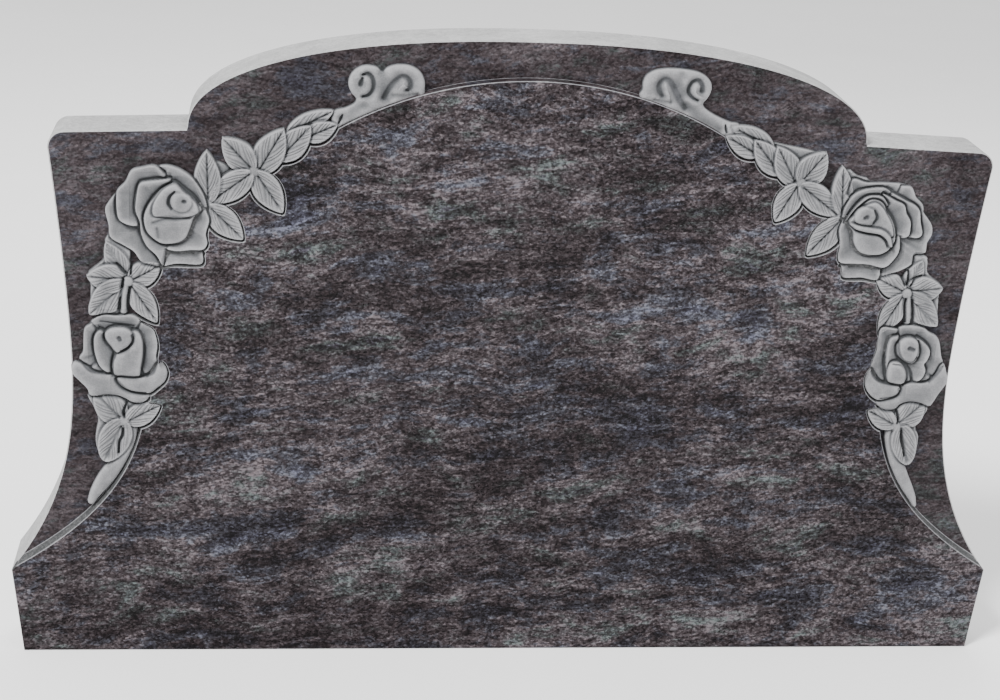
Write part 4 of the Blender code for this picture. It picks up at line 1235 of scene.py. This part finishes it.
    def build(self, garlands: Sequence[Garland]) -> bpy.types.Object:
        """Cut the field and the pockets out of the slab, and sort its faces by how they were worked.

        Args:
            garlands: the garlands that need pockets in the panel.

        Returns:
            The stone.
        """
        slab = self.body()
        cutters = [self.field_cutter()]
        for garland in garlands:
            cutters += [self.pocket_cutter(line, garland.side) for line in garland.pockets(self)]
        for cutter in cutters:
            cut = slab.modifiers.new("cut", "BOOLEAN")
            cut.operation, cut.solver, cut.object = "DIFFERENCE", "EXACT", cutter
        graph = bpy.context.evaluated_depsgraph_get()
        mesh = bpy.data.meshes.new_from_object(slab.evaluated_get(graph))
        slab.modifiers.clear()
        slab.data = mesh
        mesh.name = "stone_slab"
        for cutter in cutters:
            bpy.data.objects.remove(cutter, do_unlink=True)
        mesh.polygons.foreach_set("material_index", self.worked(mesh))
        return slab

    def worked(self, mesh: bpy.types.Mesh) -> np.ndarray:
        """Tell which finish each face takes, from where it looks and how deep it lies: walls and pocket floors get
        painted shade, except walls that look up by the crown.

        Args:
            mesh: the cut slab.

        Returns:
            The number of a finish for each face, in the order of Cut.
        """
        count = len(mesh.polygons)
        normal, middle = np.empty(count * 3), np.empty(count * 3)
        mesh.polygons.foreach_get("normal", normal)
        mesh.polygons.foreach_get("center", middle)
        normal, middle = normal.reshape(-1, 3), middle.reshape(-1, 3)
        ahead, up, depth = -normal[:, 1], middle[:, 2] / MM, (middle[:, 1] - self.front) / MM
        level, steep = ahead > LEVEL, np.abs(ahead) < STEEP
        inside = (depth > TOUCH) & (depth < self.field_depth - TOUCH)
        crown_step = (normal[:, 2] > UPWARDS) & (up > self.honed_above)
        finish = np.full(count, Cut.SAWN.value)
        for faces, cut in ((np.abs(ahead) > LEVEL, Cut.POLISHED),
                           (inside & (ahead > STEEP) & ~level, Cut.CHISELLED),
                           # pocket floors and steep walls in the recesses: painted shade
                           (level & (np.abs(depth - self.field_depth + self.pocket_floor) < TOUCH), Cut.WALL),
                           (inside & steep, Cut.WALL),
                           # walls that look up by the crown take the field's finish, without painted shade
                           (inside & steep & crown_step, Cut.HONED),
                           (level & (np.abs(depth - self.field_depth) < TOUCH), Cut.HONED),
                           ((up < self.base_height) & (np.abs(ahead) > STEEP), Cut.POLISHED)):
            finish[faces] = cut.value
        return finish.astype(np.int32)


# Finishes


def linear(code: str) -> tuple[float, float, float, float]:
    """Turn an sRGB hex colour into linear values, by the sRGB curve.

    Args:
        code: six hex digits.

    Returns:
        Linear red, green and blue, and an alpha of 1.
    """
    parts = [int(code[k:k + 2], 16) / 255 for k in (0, 2, 4)]
    red, green, blue = (p / 12.92 if p <= 0.04045 else ((p + 0.055) / 1.055)**2.4 for p in parts)
    return red, green, blue, 1.0


def add_node(tree: bpy.types.NodeTree, kind: str, inputs: Optional[dict[int | str, Source]] = None,
             **settings: Any) -> bpy.types.Node:
    """Add one node, set its options, and set or link its inputs.

    Args:
        tree: the material's node tree.
        kind: the node's type, without the leading ShaderNode.
        inputs: by input name or number, a value, an output socket, or a node for its first output.
        settings: the node's own options, and for a colour ramp its stops as (place, hex colour).

    Returns:
        The node.
    """
    node = tree.nodes.new("ShaderNode" + kind)
    stops = settings.pop("stops", ())
    for label, value in settings.items():
        setattr(node, label, value)
    for number, (place, code) in enumerate(stops):
        elements = node.color_ramp.elements
        element = elements[number] if number < len(elements) else elements.new(place)
        element.position, element.color = place, linear(code)
    for key, value in (inputs or {}).items():
        source = value.outputs[0] if isinstance(value, bpy.types.Node) else value
        if isinstance(source, bpy.types.NodeSocket):
            tree.links.new(source, node.inputs[key])
        else:
            node.inputs[key].default_value = source
    return node


def noise(tree: bpy.types.NodeTree, place: Source, scale: float, detail: float, keep: float = 0.5) -> bpy.types.Node:
    """A noise at a place, with its scale, its finer repeats and how much each of them keeps."""
    return add_node(tree, "TexNoise", {"Vector": place, "Scale": scale, "Detail": detail, "Roughness": keep})


def weighed(tree: bpy.types.NodeTree, value: Source, share: float, light: Source) -> bpy.types.Node:
    """A lightness, plus a share of what a value differs from one half."""
    centred = add_node(tree, "Math", {0: value, 1: 0.5}, operation="SUBTRACT")
    return add_node(tree, "Math", {0: centred, 1: share, 2: light}, operation="MULTIPLY_ADD")


def blank_material(name: str) -> tuple[bpy.types.Material, bpy.types.NodeTree]:
    """Make a new material with an empty node tree.

    Args:
        name: the material's name.

    Returns:
        The material and its tree.
    """
    material = bpy.data.materials.new(name)
    material.use_nodes = True
    material.node_tree.nodes.clear()
    return material, material.node_tree


def surface(tree: bpy.types.NodeTree, inputs: dict[int | str, Source]) -> None:
    """Lead a Principled shader with the given inputs to the material's output."""
    shader = add_node(tree, "BsdfPrincipled", inputs)
    add_node(tree, "OutputMaterial", {0: shader})


@dataclass(frozen=True)
class Bedding:
    """The stone's own pattern, which every finish shows: streaks that lie nearly flat and rise a little.

    Each layer is a noise: length and height of its largest streaks in millimetres, how many times it is
    repeated at half the size, how much each repeat keeps, and its share in how light the stone is. A
    crystal has a length, a height and a share, and so has each family of thin veins.
    """

    rise: float = 4.5
    warp: float = 30.0
    warp_scale: float = 6.0
    layers: Rows = ((420.0, 200.0, 2.0, 0.55, 0.85), (110.0, 44.0, 3.0, 0.70, 0.92), (27.0, 11.5, 3.0, 0.72, 0.62))
    grain: tuple[float, ...] = (5.2, 3.6, 2.0, 0.72, 1.0)
    crystal: tuple[float, float, float] = (3.2, 2.3, 0.42)
    veins: Rows = ((170.0, 34.0, 0.17), (120.0, 26.0, -0.15))
    vein_band: tuple[float, float] = (0.44, 0.56)
    vein_sharpness: float = 5.0
    vein_shift: tuple[float, float] = (9.0, 5.0)

    def lay(self, tree: bpy.types.NodeTree) -> tuple[bpy.types.Node, bpy.types.Node]:
        """Add the pattern's nodes.

        The place is turned by the beds' rise and pushed about by a slow noise. Each layer is a noise
        stretched to its length and height, and the lightness is one half plus the weighed sum of
        what the layers differ from one half. Single crystals are cells that each have a lightness.
        A vein follows the line where a slow noise crosses one half, as a high power of the nearness.

        Args:
            tree: the material's node tree.

        Returns:
            The lightness, and the bedded place in metres.
        """
        place = add_node(tree, "TexCoord").outputs["Object"]
        turned = add_node(tree, "Mapping", {"Vector": place, "Rotation": (0.0, math.radians(self.rise), 0.0)})
        slow = noise(tree, turned, self.warp_scale, 3.0)
        push = add_node(tree, "VectorMath", {0: slow.outputs["Color"], 1: (0.5, 0.5, 0.5)}, operation="SUBTRACT")
        bent = add_node(tree, "VectorMath", {0: push, 1: (self.warp * MM * 2.0,) * 3, 2: turned},
                        operation="MULTIPLY_ADD")
        light: Source = 0.5
        for where, (length, height, detail, keep, share) in (*((bent, layer) for layer in self.layers),
                                                             (turned, self.grain)):
            scale = (1 / (length * MM), 2 / ((length + height) * MM), 1 / (height * MM))
            fitted = add_node(tree, "VectorMath", {0: where, 1: scale}, operation="MULTIPLY")
            light = weighed(tree, noise(tree, fitted, 1.0, detail, keep), share, light)
        length, height, share = self.crystal
        scale = (1 / (length * MM), 1 / (height * MM), 1 / (height * MM))
        fitted = add_node(tree, "VectorMath", {0: turned, 1: scale}, operation="MULTIPLY")
        cells = add_node(tree, "TexVoronoi", {"Vector": fitted, "Scale": 1.0})
        light = weighed(tree, add_node(tree, "SeparateColor", {0: cells.outputs["Color"]}), share, light)
        for length, height, share in self.veins:
            scale = (1 / (length * MM), 1 / (length * MM), 1 / (height * MM))
            shift = (share * self.vein_shift[0], 0.0, share * self.vein_shift[1])
            fitted = add_node(tree, "VectorMath", {0: bent, 1: scale, 2: shift}, operation="MULTIPLY_ADD")
            off = add_node(tree, "MapRange", {0: noise(tree, fitted, 1.0, 4.0, 0.6), 1: self.vein_band[0],
                                              2: self.vein_band[1], 3: -1.0, 4: 1.0})
            square = add_node(tree, "Math", {0: off, 1: off}, operation="MULTIPLY")
            crest = add_node(tree, "Math", {0: 1.0, 1: square}, operation="SUBTRACT")
            thin = add_node(tree, "Math", {0: crest, 1: self.vein_sharpness}, operation="POWER")
            light = add_node(tree, "Math", {0: thin, 1: share, 2: light}, operation="MULTIPLY_ADD")
        return light, bent


@dataclass(frozen=True)
class PolishedGranite:
    """Migmatite granite ground and polished to a mirror: it reads dark, and its colours come up.

    Honed instead, which stops before the last polish, it is rougher and evener: the beds lie under a
    fine veil, as on the sunk field. The tints' clouds are counted to the metre, along each axis.
    """

    name: str = "polished_migmatite_granite"
    bedding: Bedding = Bedding()
    stops: Stops = ((0.15, "0c090a"), (0.36, "262122"), (0.50, "3a3637"), (0.62, "4a4748"),
                    (0.78, "626061"), (0.95, "878586"))
    tints: Stops = ((0.34, "818598"), (0.43, "838792"), (0.50, "8c8285"), (0.56, "898488"),
                    (0.63, "7d8987"), (0.72, "868393"))
    clouds: tuple[float, float, float] = (9.0, 14.0, 24.0)
    gain: float = 1.95
    evenness: float = 0.09
    even_light: float = 0.58
    light_range: tuple[float, float] = (0.2, 0.8)
    roughness: tuple[float, float] = (0.16, 0.30)
    gloss: float = 0.09

    def material(self) -> bpy.types.Material:
        """Make the material: the beds' lightness picks a dark grey, and slow clouds tint it brown, blue or green.

        Returns:
            The material.
        """
        material, tree = blank_material(self.name)
        light, bent = self.bedding.lay(tree)
        even = add_node(tree, "Mix", {0: self.evenness, 2: light, 3: self.even_light}, data_type="FLOAT")
        grey = add_node(tree, "ValToRGB", {0: even}, stops=self.stops)
        clouds = add_node(tree, "VectorMath", {0: bent, 1: self.clouds}, operation="MULTIPLY")
        tint = add_node(tree, "ValToRGB", {0: noise(tree, clouds, 1.0, 6.0, 0.72)}, stops=self.tints)
        tinted = add_node(tree, "Mix", {0: 1.0, 6: grey, 7: tint}, data_type="RGBA", blend_type="MULTIPLY")
        colour = add_node(tree, "VectorMath", {0: tinted.outputs[2], 3: self.gain}, operation="SCALE")
        rough = add_node(tree, "MapRange", {0: light, 1: self.light_range[0], 2: self.light_range[1],
                                            3: self.roughness[0], 4: self.roughness[1]})
        surface(tree, {"Base Color": colour, "Roughness": rough, "IOR": STONE_IOR, "Specular IOR Level": self.gloss})
        return material


@dataclass(frozen=True)
class WorkedGranite:
    """The same granite with an unpolished surface, cut by saw, chisel or point: pale grey and matt."""

    name: str
    dark: str
    middle: str
    light: str
    bedding: Bedding = Bedding()
    bed_share: float = 0.45
    speckle: float = 0.35
    roughness: float = 0.86
    bump: float = 0.25
    bump_size: float = 1.6
    bump_depth: float = 0.4
    stops_at: tuple[float, float, float] = (0.15, 0.5, 0.85)

    def material(self) -> bpy.types.Material:
        """Make the material: crushed crystals scatter the light, so the beds show faintly under a pale speckle.

        Returns:
            The material.
        """
        material, tree = blank_material(self.name)
        light, _ = self.bedding.lay(tree)
        place = add_node(tree, "TexCoord").outputs["Object"]
        speck = noise(tree, place, 1 / (self.bump_size * MM), 2.0, 0.7)
        faint = add_node(tree, "MapRange", {0: light, 1: 0.0, 2: 1.0, 3: 0.5 - self.bed_share / 2,
                                            4: 0.5 + self.bed_share / 2})
        colour = add_node(tree, "ValToRGB", {0: weighed(tree, speck, self.speckle * 2, faint)},
                          stops=tuple(zip(self.stops_at, (self.dark, self.middle, self.light))))
        relief = add_node(tree, "Bump", {"Strength": self.bump, "Distance": self.bump_depth * MM, "Height": speck})
        surface(tree, {"Base Color": colour, "Roughness": self.roughness, "IOR": STONE_IOR, "Normal": relief})
        return material


@dataclass(frozen=True)
class CarvedGranite:
    """Granite carved by chisel and left matt, with painted light: painted highlights on its edges, near-black painted
    shade in its grooves.

    It reads the piece's painted shade and highlight (dark groove to pale edge) and filler (rough stone left
    standing).
    """

    name: str = "carved_granite_painted_shading"
    # greys that the painted shade and highlight pick, from groove to edge
    tones: Stops = ((0.06, "292b2d"), (0.26, "434447"), (0.44, "565759"), (0.60, "666668"), (0.84, "858587"))
    filler: Stops = ((0.25, "404143"), (0.5, "616264"), (0.75, "858688"))
    speckle: float = 0.24
    grain: float = 1.7
    mottle: float = 14.0
    mottle_share: float = 0.34
    bump: float = 0.35
    bump_depth: float = 0.5
    roughness: float = 0.88

    def material(self) -> bpy.types.Material:
        """Make the material: the painted shade and highlight, shaken by a fine speckle and a soft mottle, picks the
        grey.

        Returns:
            The material.
        """
        material, tree = blank_material(self.name)
        place = add_node(tree, "TexCoord").outputs["Object"]
        # painted shade and highlight, read from the piece
        painted_shading = add_node(tree, "Attribute", attribute_name="painted_shading").outputs["Fac"]
        left = add_node(tree, "Attribute", attribute_name="filler").outputs["Fac"]
        speck = noise(tree, place, 1 / (self.grain * MM), 3.0, 0.75)
        broad = noise(tree, place, 1 / (self.mottle * MM), 2.0)
        shaken = weighed(tree, broad, self.mottle_share, weighed(tree, speck, self.speckle * 2, painted_shading))
        grey = add_node(tree, "ValToRGB", {0: shaken}, stops=self.tones)
        rough = add_node(tree, "ValToRGB", {0: speck}, stops=self.filler)
        mixed = add_node(tree, "Mix", {0: left, 6: grey, 7: rough}, data_type="RGBA")
        relief = add_node(tree, "Bump", {"Strength": self.bump, "Distance": self.bump_depth * MM, "Height": speck})
        surface(tree, {"Base Color": mixed.outputs[2], "Roughness": self.roughness, "IOR": STONE_IOR,
                       "Normal": relief})
        return material


@dataclass(frozen=True)
class StudioPaint:
    """Matt pale paint for the studio's floor."""

    name: str = "pale_studio_floor"
    shades: Stops = ((0.3, "f1f1f1"), (0.7, "f3f3f3"))
    roughness: float = 0.9

    def material(self) -> bpy.types.Material:
        """Make the material: a pale grey that varies faintly, as a rolled paint does.

        Returns:
            The material.
        """
        material, tree = blank_material(self.name)
        place = add_node(tree, "TexCoord").outputs["Object"]
        colour = add_node(tree, "ValToRGB", {0: noise(tree, place, 3.0, 2.0)}, stops=self.shades)
        surface(tree, {"Base Color": colour, "Roughness": self.roughness})
        return material


@dataclass(frozen=True)
class Lamp:
    """A square area light: its place, how high it aims on the centre line, its size and its power."""

    name: str
    place: tuple[float, float, float]
    aim: float
    size: float
    power: float

    def hang(self) -> None:
        """Put the lamp into the scene, turned to its target."""
        light = bpy.data.lights.new(self.name, "AREA")
        light.shape, light.size, light.energy = "SQUARE", self.size, self.power
        lamp = bpy.data.objects.new(self.name, light)
        bpy.context.scene.collection.objects.link(lamp)
        lamp.location = self.place
        lamp.rotation_euler = (Vector((0.0, 0.0, self.aim)) - Vector(self.place)).to_track_quat("-Z", "Y").to_euler()


@dataclass
class Studio:
    """A plain pale floor, soft lights and the camera."""

    floor_size: float = 14.0
    camera_place: tuple[float, float, float] = (-0.3260, -2.6132, 1.3996)
    camera_turn: tuple[float, float, float] = (69.998, -2.764, -5.549)
    lens: float = 72.0
    world: str = "fafafa"
    world_strength: float = 1.04
    lamps: tuple[Lamp, ...] = (
        Lamp("key", (-3.3, -3.3, 6.2), 0.45, 1.7, 1050.0),
        Lamp("fill", (2.6, -2.4, 1.8), 0.45, 2.0, 56.0),
        Lamp("back", (0.5, 2.4, 2.6), 0.5, 1.6, 58.0),
    )

    def floor(self) -> bpy.types.Object:
        """Make a square floor under the stone.

        Returns:
            The floor.
        """
        half = self.floor_size / 2
        mesh = bpy.data.meshes.new("studio_floor")
        mesh.from_pydata([(-half, -half, 0), (half, -half, 0), (half, half, 0), (-half, half, 0)], [], [(0, 1, 2, 3)])
        mesh.materials.append(StudioPaint().material())
        return shown_object("studio_floor", mesh)

    def build(self) -> None:
        """Set up the floor, the world, the lamps and the camera."""
        self.floor()
        world = bpy.data.worlds.new("studio_world")
        world.use_nodes = True
        back = world.node_tree.nodes["Background"]
        back.inputs["Color"].default_value = linear(self.world)
        back.inputs["Strength"].default_value = self.world_strength
        bpy.context.scene.world = world
        for lamp in self.lamps:
            lamp.hang()
        lens = bpy.data.cameras.new("view")
        lens.lens, lens.sensor_width = self.lens, 36.0
        camera = bpy.data.objects.new("view", lens)
        camera.location = self.camera_place
        camera.rotation_euler = Euler([math.radians(angle) for angle in self.camera_turn], "XYZ")
        bpy.context.scene.collection.objects.link(camera)
        bpy.context.scene.camera = camera


def main() -> None:
    """Build the stone, its garlands and the studio in order, and dress each piece."""
    logging.basicConfig(level=logging.INFO, format="%(message)s")
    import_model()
    slab = Slab()
    garlands = [Garland(Side.LEFT, LEFT_SCROLL, LEFT_LEAVES, LEFT_UPPER_ROSE, LEFT_LOWER_ROSE, LEFT_STEM,
                        LEFT_WEBS, LEFT_SLOTS, LEFT_LINES),
                Garland(Side.RIGHT, RIGHT_SCROLL, RIGHT_LEAVES, RIGHT_UPPER_ROSE, RIGHT_LOWER_ROSE, RIGHT_STEM,
                        RIGHT_WEBS, RIGHT_SLOTS, RIGHT_LINES)]
    stone = slab.build(garlands)
    # One finish for each value of Cut, in its order
    for finish in (PolishedGranite(), WorkedGranite("sawn_granite", "727272", "8f8f8f", "a9a9a9"),
                   WorkedGranite("chiselled_granite", "535355", "6c6c6f", "858586", bump=0.4),
                   # painted shade: near-black for walls and pocket floors in the recesses
                   WorkedGranite("chisel_cut_painted_shade", "1b1c1d", "323334", "5f5f60", bump=0.5),
                   PolishedGranite("honed_migmatite_granite", evenness=0.42, roughness=(0.42, 0.55))):
        stone.data.materials.append(finish.material())
    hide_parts("rose_headstone")
    # carving with painted shade in grooves and painted highlights on edges
    carved = CarvedGranite().material()
    pieces = [stone]
    for garland in garlands:
        for piece in garland.build(slab):
            piece.data.materials.append(carved)
            pieces.append(piece)
    for piece in pieces:
        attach(piece, "root")
        log.info("%s: %d vertices, %d faces", piece.name, len(piece.data.vertices), len(piece.data.polygons))
    Studio().build()


if __name__ == "__main__":
    main()
